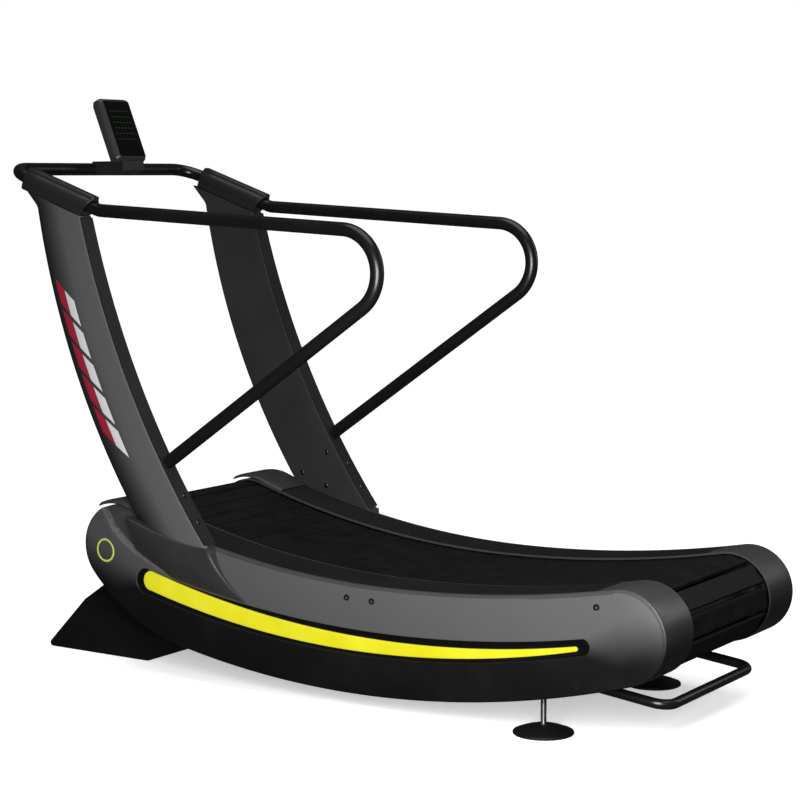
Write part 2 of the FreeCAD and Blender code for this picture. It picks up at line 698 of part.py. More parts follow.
def make_drum(end_name, centre):
    """A tube between two pulleys, each with a seat for its bearing."""
    name = f"{end_name}_drum"
    half = size("drum_half")
    width = size("pulley_width")
    tube = primitive(
        "Cylinder",
        f"{name}_tube",
        across(centre[0], centre[1], half),
        Radius="drum_tube_radius",
        Height="2 * drum_half",
    )
    reach = "end_radius - belt_drop - belt_thickness - drum_clearance"
    pulleys = []
    for number, start in enumerate((half, -half + width)):
        place = across(centre[0], centre[1], start)
        pulley = primitive("Cylinder", f"{name}_pulley_{number}", place, Radius=reach, Height="pulley_width")
        pulleys.append(pulley)
    solid = boolean("Fuse", f"{name}_solid", tube, pulleys)
    middle = primitive(
        "Cylinder",
        f"{name}_hollow",
        across(centre[0], centre[1], half - width),
        Radius="drum_tube_radius - drum_tube_wall",
        Height="2 * drum_half - 2 * pulley_width",
    )
    seats = []
    for number, start in enumerate((half, -half + width)):
        place = across(centre[0], centre[1], start)
        seat = primitive("Cylinder", f"{name}_seat_{number}", place, Radius="bearing_radius", Height="pulley_width")
        seats.append(seat)
    keep(boolean("Cut", name, solid, [middle] + seats))
    races = []
    for number, start in enumerate((size("bearing_inside") + size("bearing_width"), -size("bearing_inside"))):
        race = tube_across(
            f"{name}_bearing_{number}",
            centre,
            "bearing_radius - fit_clearance",
            "axle_radius + fit_clearance",
            "bearing_width",
            start,
        )
        races.append(race)
    keep(group(f"{name}_bearings", races))
    rail_outside = size("rail_inside") + size("rail_plate")
    axle_place = across(centre[0], centre[1], rail_outside + size("axle_tip"))
    axle = primitive("Cylinder", f"{end_name}_axle", axle_place, Radius="axle_radius")
    bind(axle, Height="2 * ( rail_inside + rail_plate + axle_tip )")
    keep(axle)


make_drum("front", NOSE)
make_drum("rear", TAIL)

# ---------------------------------------------------------------- belts, slats and rollers


def make_drive_belt(side_name, side):
    inner_drop = size("belt_drop") + size("belt_thickness")
    edges = base_outline(size("belt_drop")) + base_outline(inner_drop)
    keep(slab(f"{side_name}_drive_belt", side, edges, "belt_inside", "belt_width"))


left_and_right(make_drive_belt)


def make_guide_rollers(side_name, side):
    """Ball races on studs that stand on the side rail."""
    solids = []
    radius, width = size("roller_radius"), size("roller_width")
    middle = size("belt_inside") + size("belt_width") / 2
    rail_outside = size("rail_inside") + size("rail_plate")
    outward = Vector(0, side, 0)
    for x, z in roller_places():
        race_start = Vector(x, side * (middle - width / 2), z)
        race = Part.makeCylinder(radius, width, race_start, outward)
        stud_start = Vector(x, side * (middle - width / 2 - size("stud_tip")), z)
        stud = Part.makeCylinder(size("stud_radius"), rail_outside - abs(stud_start.y), stud_start, outward)
        solids.append(race.fuse(stud).removeSplitter())
    keep(shape_feature(f"{side_name}_guide_rollers", Part.makeCompound(solids)))


left_and_right(make_guide_rollers)


def slat_solid(pitch):
    """A flat slat with a stiffening rib, its top face in the plane z = 0."""
    half = size("slat_half")
    width = pitch - size("slat_gap")
    thickness = size("slat_thickness")
    plate = Part.makeBox(width, 2 * half, thickness, Vector(-width / 2, -half, -thickness))
    rib_half = size("slat_rib_half")
    rib_width = size("slat_rib_width")
    rib_height = size("slat_rib_height")
    rib_corner = Vector(-rib_width / 2, -rib_half, -thickness - rib_height)
    rib = Part.makeBox(rib_width, 2 * rib_half, rib_height, rib_corner)
    return plate.fuse(rib)


def loop_stations():
    """Arc number and angle of every slat, evenly spaced along the drive belt's middle line."""
    middle = size("belt_drop") + size("belt_thickness") / 2
    lengths = []
    for _, radius, sign, start, end in BASE_ARCS:
        lengths.append((radius + sign * middle) * math.radians(abs(end - start)))
    count = round(sum(lengths) / size("slat_pitch"))
    pitch = sum(lengths) / count
    stations = []
    for index in range(count):
        travelled = pitch * (index + 0.5)
        number = 0
        while travelled > lengths[number]:
            travelled -= lengths[number]
            number += 1
        start, end = BASE_ARCS[number][3:]
        stations.append((number, start + (end - start) * travelled / lengths[number]))
    return pitch, stations


def make_slats():
    pitch, stations = loop_stations()
    slat = slat_solid(pitch)
    drop = size("slat_drop")
    running, returning = [], []
    for number, angle in stations:
        centre, radius, sign = BASE_ARCS[number][:3]
        x, z = polar(centre, radius + sign * drop, angle)
        outward = angle + 180.0 if sign > 0 else angle
        turned = slat.copy()
        turned.rotate(Vector(0, 0, 0), Vector(0, 1, 0), 90.0 - outward)
        turned.translate(Vector(x, 0, z))
        (running if number < RUNNING_ARCS else returning).append(turned)
    keep(shape_feature("running_slats", Part.makeCompound(running)))
    keep(shape_feature("return_slats", Part.makeCompound(returning)))


make_slats()

# ---------------------------------------------------------------- side covers and their trim

# lowest point and radius of the shallow arcs that bound the slot and the light strip
SLOT_TOP = (244.7, 228.0, 3404.7)
SLOT_BOTTOM = (163.8, 156.0, 2979.0)
LIGHT_TOP = (265.0, 206.0, 3061.0)
LIGHT_BOTTOM = (169.1, 168.0, 2856.2)
# front and rear end, and how far the rounded ends reach past them
SLOT_ENDS = (-548.0, 868.0, 40.0, 20.0)
LIGHT_ENDS = (-536.0, 843.0, 26.0, 7.0)


def bow_height(bow, x, grow=0.0):
    """Height of a shallow arc given by its lowest point and radius, raised by grow."""
    low_x, low_z, radius = bow
    return low_z + radius - math.sqrt((radius - grow) ** 2 - (x - low_x) ** 2)


def bowed_band(top, bottom, front_x, rear_x, front_round, rear_round, grow=0.0):
    """A long band between two shallow arcs with rounded ends, enlarged by grow."""
    ends = []
    for x, reach in ((front_x, -front_round - grow), (rear_x, rear_round + grow)):
        high = (x, bow_height(top, x, grow))
        low = (x, bow_height(bottom, x, -grow))
        ends.append((high, (x + reach, (high[1] + low[1]) / 2), low))
    front, rear = ends
    middle_x = (front_x + rear_x) / 2
    return [
        arc_through(front[0], (middle_x, bow_height(top, middle_x, grow)), rear[0]),
        arc_through(*rear),
        arc_through(rear[2], (middle_x, bow_height(bottom, middle_x, -grow)), front[2]),
        arc_through(front[2], front[1], front[0]),
    ]


def slot_outline(grow=0.0):
    return bowed_band(SLOT_TOP, SLOT_BOTTOM, *SLOT_ENDS, grow)


def light_outline():
    return bowed_band(LIGHT_TOP, LIGHT_BOTTOM, *LIGHT_ENDS)


def upright_opening(gap):
    """The upright's outline with a gap all round, for the cutters of its openings."""
    return upright_outline(-gap, size("upright_foot_z") - gap, 0.0, size("opening_top_z"))


def make_side_cover(side_name, side):
    name = f"{side_name}_side_cover"
    cover = slab(name, side, base_outline(0.0), "inner_rim", "cover_width")
    cut(cover, side, base_outline(size("rim_wall")), "inner_rim", "( cover_width - cover_wall )")
    gap = size("seat_gap")
    band = top_band(size("strip_front_x") - gap, size("strip_rear_x") + gap, -gap, size("strip_thickness"))
    cut(cover, side, band, "inner_rim", "( strip_width + seat_gap )")
    cut(cover, side, slot_outline(), "( inner_rim + cover_width - 2 * cover_wall )", "3 * cover_wall")
    opening = upright_opening(size("opening_gap"))
    cut(cover, side, opening, "( upright_inside - opening_gap )", "opening_depth")
    handle_slot = rectangle(
        size("handle_slot_front_x"), size("belly_z"), size("handle_slot_rear_x"), size("handle_slot_high_z")
    )
    handle_inside = "( handle_half - handle_radius - seat_gap )"
    cut(cover, side, handle_slot, handle_inside, "( 2 * handle_radius + 2 * seat_gap )")
    reach = size("foot_boss_radius") + size("seat_gap")
    foot_x = size("foot_x")
    foot_slot = rectangle(foot_x - reach, size("belly_z"), foot_x + reach, size("foot_slot_high_z"))
    boss_inside = "( foot_y - foot_boss_radius - seat_gap )"
    cut(cover, side, foot_slot, boss_inside, "( 2 * foot_boss_radius + 2 * seat_gap )")
    holes = [ring(place, size("screw_radius") + 2 * size("play")) for place in STANDOFFS]
    cut(cover, side, holes, "( inner_rim + cover_width - 2 * cover_wall )", "3 * cover_wall")
    sinks = [ring(place, size("screw_head_radius") + 3 * size("play")) for place in STANDOFFS]
    cut(cover, side, sinks, "( inner_rim + cover_width - screw_sink )", "3 * cover_wall")
    keep(cover)


left_and_right(make_side_cover)


def make_foot_strip(side_name, side):
    band = top_band(size("strip_front_x"), size("strip_rear_x"), 0.0, size("strip_thickness"))
    strip = slab(f"{side_name}_foot_strip", side, band, "inner_rim", "strip_width")
    cut(strip, side, upright_opening(size("opening_gap")), "( upright_inside - opening_gap )", "opening_depth")
    keep(strip)


left_and_right(make_foot_strip)


def make_front_hood(side_name, side):
    """A raised band over the cover's rim, from the nose to the upright."""
    front_x, rear_x = size("hood_front_x"), size("hood_rear_x")
    rise, rest = size("hood_height"), size("hood_rest")
    shoulder = heading(NOSE, FRONT_TOP)
    edges, front_ends, rear_ends = [], [], []
    for grow in (rise, rest):
        radius = END + grow
        front_angle = 180.0 - math.degrees(math.acos((NOSE[0] - front_x) / radius))
        edges.append(arc(NOSE, radius, shoulder, front_angle))
        top_radius = size("front_curve") - grow
        rear = (rear_x, top_height(rear_x, -grow))
        edges.append(arc(FRONT_TOP, top_radius, heading(FRONT_TOP, NOSE), heading(FRONT_TOP, rear)))
        front_ends.append(polar(NOSE, radius, front_angle))
        rear_ends.append(rear)
    edges += [line(*front_ends), line(*rear_ends)]
    hood = slab(f"{side_name}_front_hood", side, edges, "inner_rim", "hood_width")
    cut(hood, side, upright_opening(size("opening_gap")), "( upright_inside - opening_gap )", "opening_depth")
    keep(hood)


left_and_right(make_front_hood)


def make_light(side_name, side):
    """A tray behind the slot in the cover's wall, and the light strip that lies in it."""
    tray_start = "( inner_rim + cover_width - cover_wall - tray_lip - tray_floor )"
    lip_start = "( inner_rim + cover_width - cover_wall - tray_lip )"
    flange = slot_outline(size("tray_flange"))
    tray = slab(f"{side_name}_light_tray", side, flange, tray_start, "( tray_floor + tray_lip - play )")
    cut(tray, side, slot_outline(), lip_start, "2 * tray_lip")
    keep(tray)
    keep(slab(f"{side_name}_light_strip", side, light_outline(), lip_start, "light_depth"))


left_and_right(make_light)


def nose_ring(side):
    edges = [ring((size("ring_x"), size("ring_z")), size("ring_radius"))]
    edges.append(ring((size("ring_x"), size("ring_z")), size("ring_radius") - size("ring_width")))
    return slab(f"nose_ring_{side + 2}", side, edges, "inner_rim + cover_width", "ring_height")


keep(group("nose_rings", [nose_ring(side) for _, side in SIDES]))

# ---------------------------------------------------------------- uprights

INNER_BOLTS = ((-472.5, 575.0), (-566.5, 504.0), (-473.5, 469.0))
STRIP_SCREW_HEIGHTS = (542.0, 470.0)
BRACKET_ARMS = ((-545.0, 392.0), (-425.0, 372.0))


def strip_screw_axis(z):
    """Start point inside the upright and outward direction of a rear strip screw."""
    x = edge_x(REAR_EDGE, size("upright_rear_curve"), z)
    turn = math.radians(heading((x, z), REAR_EDGE))
    return (x, z), Vector(math.cos(turn), 0, math.sin(turn))


def strip_screw_tools(name, side):
    """Cylinders that drill the holes of the rear strip's screws."""
    tools = []
    for number, z in enumerate(STRIP_SCREW_HEIGHTS):
        (x, height), outward = strip_screw_axis(z)
        start = Vector(x, side * size("tube_y"), height) - outward * size("drill_before")
        rotation = FreeCAD.Rotation(Vector(0, 0, 1), outward)
        tool = primitive("Cylinder", f"{name}_{number}", FreeCAD.Placement(start, rotation), Radius="bolt_hole")
        bind(tool, Height="drill_before + drill_after")
        tools.append(tool)
    return tools


def make_upright(side_name, side):
    wall = size("upright_wall")
    foot = size("upright_foot_z")
    outline = upright_outline(0.0, foot, size("play"))
    blank = slab(f"{side_name}_upright_blank", side, outline, "upright_inside", "upright_channel")
    channel = upright_outline(wall, foot + wall, wall)
    cut(blank, side, channel, "( upright_inside + upright_wall )", "upright_channel")
    reach = size("bracket_arm") / 2 + size("opening_gap")
    holes = []
    for x, z in BRACKET_ARMS:
        holes += rectangle(x - reach, z - reach, x + reach, z + reach)
    holes += [ring(place, size("bolt_hole")) for place in INNER_BOLTS]
    cut(blank, side, holes, "( upright_inside - 1 )", "( upright_wall + 2 )")
    drills = strip_screw_tools(f"{side_name}_upright_drill", side)
    keep(boolean("Cut", f"{side_name}_upright", blank, drills))

    cover_start = "upright_inside + upright_channel + shell_gap"
    cover = slab(f"{side_name}_upright_cover", side, outline, cover_start, "upright_cover_depth")
    hollow = upright_outline(size("cover_wall"), foot + size("cover_wall"), size("cover_wall"))
    cut(cover, side, hollow, cover_start, "( upright_cover_depth - cover_wall )")
    keep(cover)

    strip_foot = size("rear_strip_foot_z")
    inner_radius = size("upright_rear_curve") - size("shell_gap")
    outer_radius = inner_radius - size("rear_strip_wall")
    edges = []
    ends = []
    for radius in (outer_radius, inner_radius):
        high = saddle_point(REAR_EDGE, radius, size("strip_top_drop"))
        low = (edge_x(REAR_EDGE, radius, strip_foot), strip_foot)
        edges.append(arc(REAR_EDGE, radius, heading(REAR_EDGE, high), heading(REAR_EDGE, low)))
        ends.append((high, low))
    edges += [line(ends[0][0], ends[1][0]), line(ends[0][1], ends[1][1])]
    strip = slab(f"{side_name}_rear_strip_plate", side, edges, "upright_inside", "rear_strip_width")
    rail_y = side * size("tube_y")
    foot_point = Vector(size("handrail_foot_x"), rail_y, size("handrail_foot_z"))
    corner = Vector(size("handrail_corner_x"), rail_y, size("handrail_corner_z"))
    along = (corner - foot_point).normalize()
    spigot = primitive(
        "Cylinder",
        f"{side_name}_handrail_spigot",
        FreeCAD.Placement(foot_point - along * size("spigot_root"), FreeCAD.Rotation(Vector(0, 0, 1), along)),
        Radius="tube_radius - tube_wall - 3 * play",
        Height="spigot_length",
    )
    blank = boolean("Fuse", f"{side_name}_rear_strip_blank", strip, [spigot])
    drills = strip_screw_tools(f"{side_name}_strip_drill", side)
    keep(boolean("Cut", f"{side_name}_rear_strip", blank, drills))


left_and_right(make_upright)


def make_upright_bracket(side_name, side):
    """A plate inside the upright's foot on two square arms from the side rail."""
    name = f"{side_name}_upright_bracket"
    plate_edges = upright_outline(size("bracket_edge"), size("bracket_low_z"), 0.0, size("bracket_top_z"))
    plate_edges += [ring(place, size("bolt_hole")) for place in INNER_BOLTS]
    plate_start = "upright_inside + upright_wall + 4 * play"
    plate = slab(f"{name}_plate", side, plate_edges, plate_start, "bracket_plate")
    half = size("bracket_arm") / 2
    arms = []
    for x, z in BRACKET_ARMS:
        arm_edges = rectangle(x - half, z - half, x + half, z + half)
        start = "rail_inside + rail_plate"
        reach = "( upright_inside + upright_wall + 1 - rail_inside - rail_plate )"
        arms.append(slab(f"{name}_arm_{len(arms)}", side, arm_edges, start, reach))
    keep(boolean("Fuse", name, plate, arms))


left_and_right(make_upright_bracket)

# corners of the boot, and the middle points of its curved top, rear and lower edges
BOOT_CORNERS = ((-592.0, 478.0), (-312.5, 409.0), (-191.5, 272.0), (-585.5, 380.0))
BOOT_MIDDLES = ((-452.0, 451.0), (-254.5, 336.0), (-400.0, 306.0))


def make_boot(side_name, side):
    """A bulging cover around the upright's foot, open at the top for the upright."""
    front_top, rear_top, rear_low, front_low = BOOT_CORNERS
    top_middle, rear_middle, low_middle = BOOT_MIDDLES
    edges = [
        arc_through(front_top, top_middle, rear_top),
        arc_through(rear_top, rear_middle, rear_low),
        arc_through(rear_low, low_middle, front_low),
        line(front_low, front_top),
    ]
    boot = slab(f"{side_name}_boot", side, edges, "inner_rim + cover_width + hood_rest", "boot_depth")
    socket = upright_opening(size("opening_gap"))
    cut(boot, side, socket, "inner_rim + cover_width", "( boot_depth - boot_skin + hood_rest )")
    keep(boot)


left_and_right(make_boot)

# ---------------------------------------------------------------- handrails, clamps, crossbar


def bent_path(points, bends):
    """Lines joined by tangent arcs through a flat list of 2-D points; one bend radius per corner."""
    edges = []
    start = points[0]
    for index, bend in enumerate(bends, start=1):
        here, after = points[index], points[index + 1]
        towards = math.radians(heading(here, points[index - 1]))
        onwards = math.radians(heading(here, after))
        half = abs(math.remainder(onwards - towards, 2 * math.pi)) / 2
        trim = bend / math.tan(half)
        middle = towards + math.remainder(onwards - towards, 2 * math.pi) / 2
        first = (here[0] + trim * math.cos(towards), here[1] + trim * math.sin(towards))
        last = (here[0] + trim * math.cos(onwards), here[1] + trim * math.sin(onwards))
        reach = bend / math.sin(half) - bend
        crown = (here[0] + reach * math.cos(middle), here[1] + reach * math.sin(middle))
        edges += [line(start, first), arc_through(first, crown, last)]
        start = last
    edges.append(line(start, points[-1]))
    return edges


def swept_tube(name, edges, place, radius, bore):
    """A tube along a flat path: two sweeps of a circle, one cut from the other."""
    path = doc.addObject("Sketcher::SketchObject", f"{name}_path")
    path.addGeometry(edges, False)
    path.Placement = place
    doc.recompute()
    first = edges[0]
    begin = place.multVec(first.StartPoint)
    onward = place.multVec(first.EndPoint) - begin
    rods = []
    for part, expression in (("outside", radius), ("inside", bore)):
        section = doc.addObject("Part::Circle", f"{name}_{part}_section")
        bind(section, Radius=expression)
        section.Placement = FreeCAD.Placement(begin, FreeCAD.Rotation(Vector(0, 0, 1), onward))
        rod = doc.addObject("Part::Sweep", f"{name}_{part}")
        rod.Sections = [section]
        rod.Spine = (path, [f"Edge{number + 1}" for number in range(len(edges))])
        rod.Solid = True
        rod.Frenet = False
        rods.append(rod)
    doc.recompute()
    tube = boolean("Cut", name, rods[0], [rods[1]])
    length = sum(edge.length() for edge in edges)
    area = math.pi * (rods[0].Sections[0].Radius.Value ** 2 - rods[1].Sections[0].Radius.Value ** 2)
    if abs(tube.Shape.Volume / (area * length) - 1) > 0.01:
        raise ValueError(f"{name}: the sweep's volume is wrong")
    return tube


def plane_matrix(along, normal, origin):
    """A placement whose X axis is along, whose Y axis is the frame's Y, at an origin."""
    first = (along.x, 0, normal.x, origin.x)
    second = (along.y, 1, normal.y, origin.y)
    third = (along.z, 0, normal.z, origin.z)
    return FreeCAD.Matrix(*first, *second, *third, 0, 0, 0, 1)


def on_clamp_axis(distance):
    """A point on the clamp's axis, towards the rear from the clamp's middle."""
    return polar(CLAMP, distance, -TILT)


def make_handrail(side_name, side):
    upright = FreeCAD.Rotation(Vector(1, 0, 0), 90)
    place = FreeCAD.Placement(Vector(0, side * size("tube_y"), 0), upright)
    foot = (size("handrail_foot_x"), size("handrail_foot_z"))
    points = [on_clamp_axis(size("tube_gap") / 2), on_clamp_axis(size("shoulder_reach"))]
    points += [(size("handrail_corner_x"), size("handrail_corner_z")), foot]
    edges = bent_path(points, (size("shoulder_bend"), size("handrail_bend")))
    keep(swept_tube(f"{side_name}_handrail", edges, place, "tube_radius", "tube_radius - tube_wall"))


left_and_right(make_handrail)


def make_clamp(side_name, side):
    """A long rounded block that holds crossbar and handrail end to end."""
    name = f"{side_name}_handrail_clamp"
    turn = FreeCAD.Rotation(Vector(0, 1, 0), TILT)
    length, width, height = size("clamp_length"), size("clamp_width"), size("clamp_height")
    centre = Vector(CLAMP[0], side * size("tube_y"), CLAMP[1])
    corner = centre + turn.multVec(Vector(-length / 2, -width / 2, -height / 2))
    block = primitive(
        "Box",
        f"{name}_block",
        FreeCAD.Placement(corner, turn),
        Length="clamp_length",
        Width="clamp_width",
        Height="clamp_height",
    )
    doc.recompute()
    rounded = doc.addObject("Part::Fillet", f"{name}_rounded")
    rounded.Base = block
    long_edges = []
    for number, edge in enumerate(block.Shape.Edges, start=1):
        along = (edge.Vertexes[0].Point - edge.Vertexes[1].Point).normalize()
        middle = edge.CenterOfMass - centre
        is_top = turn.inverted().multVec(middle).z > 0
        if abs(along.dot(turn.multVec(Vector(1, 0, 0)))) > 0.99:
            radius = size("clamp_round") if is_top else size("clamp_round") / 3
            long_edges.append((number, radius, radius))
    rounded.Edges = long_edges
    doc.recompute()
    start = centre + turn.multVec(Vector(-length / 2 - 1.0, 0, 0))
    axis = FreeCAD.Rotation(Vector(0, 0, 1), turn.multVec(Vector(1, 0, 0)))
    bore = primitive("Cylinder", f"{name}_bore", FreeCAD.Placement(start, axis), Radius="clamp_bore")
    bind(bore, Height="clamp_length + 2")
    keep(boolean("Cut", name, rounded, [bore]))


left_and_right(make_clamp)


def make_crossbar():
    """One tube: up out of the left clamp, across the front and down into the right clamp."""
    slope = math.radians(TILT)
    reach = (size("clamp_x") - size("crossbar_x")) / math.cos(slope)
    front = Vector(size("crossbar_x"), 0, size("clamp_z") + reach * math.sin(slope))
    along = Vector(math.cos(slope), 0, -math.sin(slope))
    normal = along.cross(Vector(0, 1, 0))
    matrix = plane_matrix(along, normal, front)
    half = size("tube_y")
    end = reach - size("tube_gap") / 2
    edges = bent_path([(end, -half), (0.0, -half), (0.0, half), (end, half)], [size("crossbar_bend")] * 2)
    keep(swept_tube("crossbar", edges, FreeCAD.Placement(matrix), "tube_radius", "tube_radius - tube_wall"))
    return front


CROSSBAR = make_crossbar()

# ---------------------------------------------------------------- console

LEAN = size("console_tilt")
FACE_FOOT = (size("console_x"), size("console_z"))


def face_point(up, depth):
    """A point in the console's side view: up along its face and in from it."""
    x, z = polar(FACE_FOOT, up, 90.0 + LEAN)
    return polar((x, z), depth, 180.0 + LEAN)


def make_console():
    height, depth = size("console_height"), size("console_depth")
    bevel = size("console_bevel")
    corners = [
        face_point(0.0, 0.0),
        face_point(height, 0.0),
        face_point(height, depth - bevel),
        face_point(height - bevel, depth),
        face_point(bevel, depth),
        face_point(0.0, depth - bevel),
    ]
    case = slab("console_case", 0, polygon(*corners), "console_half", "2 * console_half")
    margin, glass = size("lens_margin"), size("lens_depth")
    recess = [
        face_point(margin, -1.0),
        face_point(height - margin, -1.0),
        face_point(height - margin, glass),
        face_point(margin, glass),
    ]
    width = "2 * ( console_half - lens_margin )"
    cut(case, 0, polygon(*recess), "( console_half - lens_margin )", width)
    keep(case)
    turn = FreeCAD.Rotation(Vector(0, 1, 0), -LEAN)
    gap = size("play")
    low = face_point(margin + 2 * gap, glass - gap)
    corner = Vector(low[0], -size("console_half") + margin + 2 * gap, low[1])
    lens = primitive(
        "Box",
        "console_lens",
        FreeCAD.Placement(corner, turn),
        Length="lens_depth - 2 * play",
        Width="2 * ( console_half - lens_margin ) - 4 * play",
        Height="console_height - 2 * lens_margin - 4 * play",
    )
    keep(lens)


make_console()


def make_console_bracket():
    """A saddle on the rear of the crossbar, which carries the console's foot."""
    low, gap = size("bracket_bottom"), 3 * size("play")
    high = CROSSBAR.z + size("tube_radius") + size("bracket_lip")
    bevel, depth = size("console_bevel"), size("console_depth")
    foot_front = face_point(0.0, size("bracket_set_back"))
    foot_back = face_point(0.0, depth - bevel)
    heel = face_point(bevel, depth)
    saddle_x = CROSSBAR.x + size("bracket_offset")
    edges = polygon(
        (saddle_x, low),
        (foot_front[0] - 2 * bevel, low),
        (foot_front[0], low + bevel),
        (foot_front[0], foot_front[1] - gap),
        (foot_back[0] - gap, foot_back[1] - gap),
        (heel[0] - 2 * gap, heel[1]),
        (saddle_x + size("bracket_lip_width"), high),
        (saddle_x, high),
    )
    bracket = slab("console_bracket", 0, edges, "bracket_half", "2 * bracket_half")
    cut(bracket, 0, [ring((CROSSBAR.x, CROSSBAR.z), size("clamp_bore"))], "bracket_half", "2 * bracket_half")
    keep(bracket)


make_console_bracket()

# ---------------------------------------------------------------- lifting handle and rear feet


def make_lifting_handle():
    """A bent tube below the tail, its arms on the outer faces of the side rails."""
    rear = (size("handle_rear_x"), size("handle_rear_z"))
    front = (size("handle_front_x"), size("handle_front_z"))
    length = math.dist(rear, front)
    along = Vector((front[0] - rear[0]) / length, 0, (front[1] - rear[1]) / length)
    normal = along.cross(Vector(0, 1, 0))
    matrix = plane_matrix(along, normal, Vector(rear[0], 0, rear[1]))
    half = size("handle_half")
    points = [(length, -half), (0.0, -half), (0.0, half), (length, half)]
    edges = bent_path(points, [size("handle_bend")] * 2)
    place = FreeCAD.Placement(matrix)
    keep(swept_tube("lifting_handle", edges, place, "handle_radius", "handle_radius - handle_wall"))


make_lifting_handle()


def make_foot(side_name, side):
    """A bracket on the side rail with a threaded boss, a stud and a round pad."""
    x, y = size("foot_x"), side * size("foot_y")
    low, high = size("foot_boss_low"), size("foot_boss_high")
    arm_start = "rail_inside + rail_plate"
    arm_edges = rectangle(x - size("foot_arm_half"), low, x + size("foot_arm_half"), high)
    arm = slab(f"{side_name}_foot_arm", side, arm_edges, arm_start, "foot_y - rail_inside - rail_plate")
    boss = primitive(
        "Cylinder",
        f"{side_name}_foot_boss",
        FreeCAD.Placement(Vector(x, y, low), FreeCAD.Rotation()),
        Radius="foot_boss_radius",
        Height="foot_boss_high - foot_boss_low",
    )
    solid = boolean("Fuse", f"{side_name}_foot_bracket_solid", arm, [boss])
    bore = primitive(
        "Cylinder",
        f"{side_name}_foot_bore",
        FreeCAD.Placement(Vector(x, y, low - 1.0), FreeCAD.Rotation()),
        Radius="foot_stud + fit_clearance",
        Height="foot_boss_high - foot_boss_low + 2",
    )
    keep(boolean("Cut", f"{side_name}_foot_bracket", solid, [bore]))
    floor = size("foot_stud_low")
    place = FreeCAD.Placement(Vector(x, y, floor), FreeCAD.Rotation())
    stud = primitive(
        "Cylinder", f"{side_name}_foot_stud", place, Radius="foot_stud", Height="foot_stud_top - foot_stud_low"
    )
    keep(stud)
    rim, radius, top = size("foot_rim"), size("foot_radius"), size("foot_height")
    socket = size("foot_stud") + size("play")
    neck = size("foot_stud") + rim
    swell = (radius * 0.55, top * 0.72)
    profile = [
        line((0.0, 0.0), (radius, 0.0)),
        line((radius, 0.0), (radius, rim)),
        arc_through((radius, rim), swell, (neck, top)),
        line((neck, top), (socket, top)),
        line((socket, top), (socket, floor)),
        line((socket, floor), (0.0, floor)),
        line((0.0, floor), (0.0, 0.0)),
    ]
    pad = add_body(f"{side_name}_foot_pad")
    sketch = add_sketch(pad, "XZ_Plane", profile)
    turned = pad.newObject("PartDesign::Revolution", f"{side_name}_foot_pad_turned")
    turned.Profile = sketch
    turned.ReferenceAxis = (sketch, ["V_Axis"])
    turned.Angle = 360
    pad.Placement = FreeCAD.Placement(Vector(x, y, 0), FreeCAD.Rotation())
    doc.recompute()
    keep(pad)


left_and_right(make_foot)

# ---------------------------------------------------------------- fasteners


def bolt_solid(start, direction, head, head_radius, shank, shank_radius):
    """A head whose flat side lies at start, and a shank that goes on from there."""
    top = Part.makeCylinder(head_radius, head, start - direction * head, direction)
    return top.fuse(Part.makeCylinder(shank_radius, shank, start, direction)).removeSplitter()


def make_upright_bolts():
    head, head_radius = size("bolt_head"), size("bolt_head_radius")
    solids = []
    shank = size("upright_wall") + size("bracket_plate") + size("bolt_end")
    half_play = size("play") / 2
    for _, side in SIDES:
        outward = Vector(0, side, 0)
        for x, z in INNER_BOLTS:
            start = Vector(x, side * (size("upright_inside") - half_play), z)
            solids.append(bolt_solid(start, outward, head, head_radius, shank, size("bolt_radius")))
        for z in STRIP_SCREW_HEIGHTS:
            (x, height), away = strip_screw_axis(z)
            surface = size("rear_strip_wall") + size("shell_gap") + half_play
            start = Vector(x, side * size("tube_y"), height) + away * surface
            length = size("strip_screw_length")
            solids.append(bolt_solid(start, away * -1, head, head_radius, length, size("bolt_radius")))
    keep(shape_feature("upright_bolts", Part.makeCompound(solids)))


make_upright_bolts()


def make_cover_fixings():
    """Standoffs between side rails and covers, and the screws that hold the covers to them."""
    rail_outside = size("rail_inside") + size("rail_plate")
    wall_inside = size("inner_rim") + size("cover_width") - size("cover_wall")
    outer_face = size("inner_rim") + size("cover_width")
    standoffs, screws = [], []
    for _, side in SIDES:
        outward = Vector(0, side, 0)
        for x, z in STANDOFFS:
            start = Vector(x, side * rail_outside, z)
            length = wall_inside - rail_outside
            rod = Part.makeCylinder(size("standoff_radius"), length, start, outward)
            bottom = Vector(x, side * (wall_inside - size("standoff_bore")), z)
            hole = Part.makeCylinder(size("screw_radius") + size("play"), length, bottom, outward)
            standoffs.append(rod.cut(hole))
            start = Vector(x, side * (outer_face - size("screw_sink") + size("play") / 2), z)
            head, head_radius = size("screw_head"), size("screw_head_radius")
            screw = bolt_solid(start, outward * -1, head, head_radius, size("screw_length"), size("screw_radius"))
            screws.append(screw)
    keep(shape_feature("cover_standoffs", Part.makeCompound(standoffs)))
    keep(shape_feature("cover_screws", Part.makeCompound(screws)))


make_cover_fixings()

# ---------------------------------------------------------------- checks and files

doc.recompute()
faults = [item.Label for item in doc.Objects if "Invalid" in item.State or "Error" in item.State]
faults += [item.Label for item in NODES if item.Shape.isNull() or not item.Shape.isValid()]
faults += [item.Label for item in NODES if not item.Shape.Solids]
if faults:
    raise ValueError(f"not sound: {sorted(set(faults))}")

os.makedirs("parts", exist_ok=True)
for item in NODES:
    item.Shape.exportStep(os.path.join("parts", f"{item.Label}.step"))
    box = item.Shape.BoundBox
    print(
        f"{item.Label:26s} solids {len(item.Shape.Solids):3d}  volume {item.Shape.Volume / 1000:9.1f} cm3"
        f"  x {box.XMin:8.1f} {box.XMax:8.1f}  y {box.YMin:7.1f} {box.YMax:7.1f}  z {box.ZMin:7.1f} {box.ZMax:7.1f}"
    )
print(f"{len(NODES)} nodes")
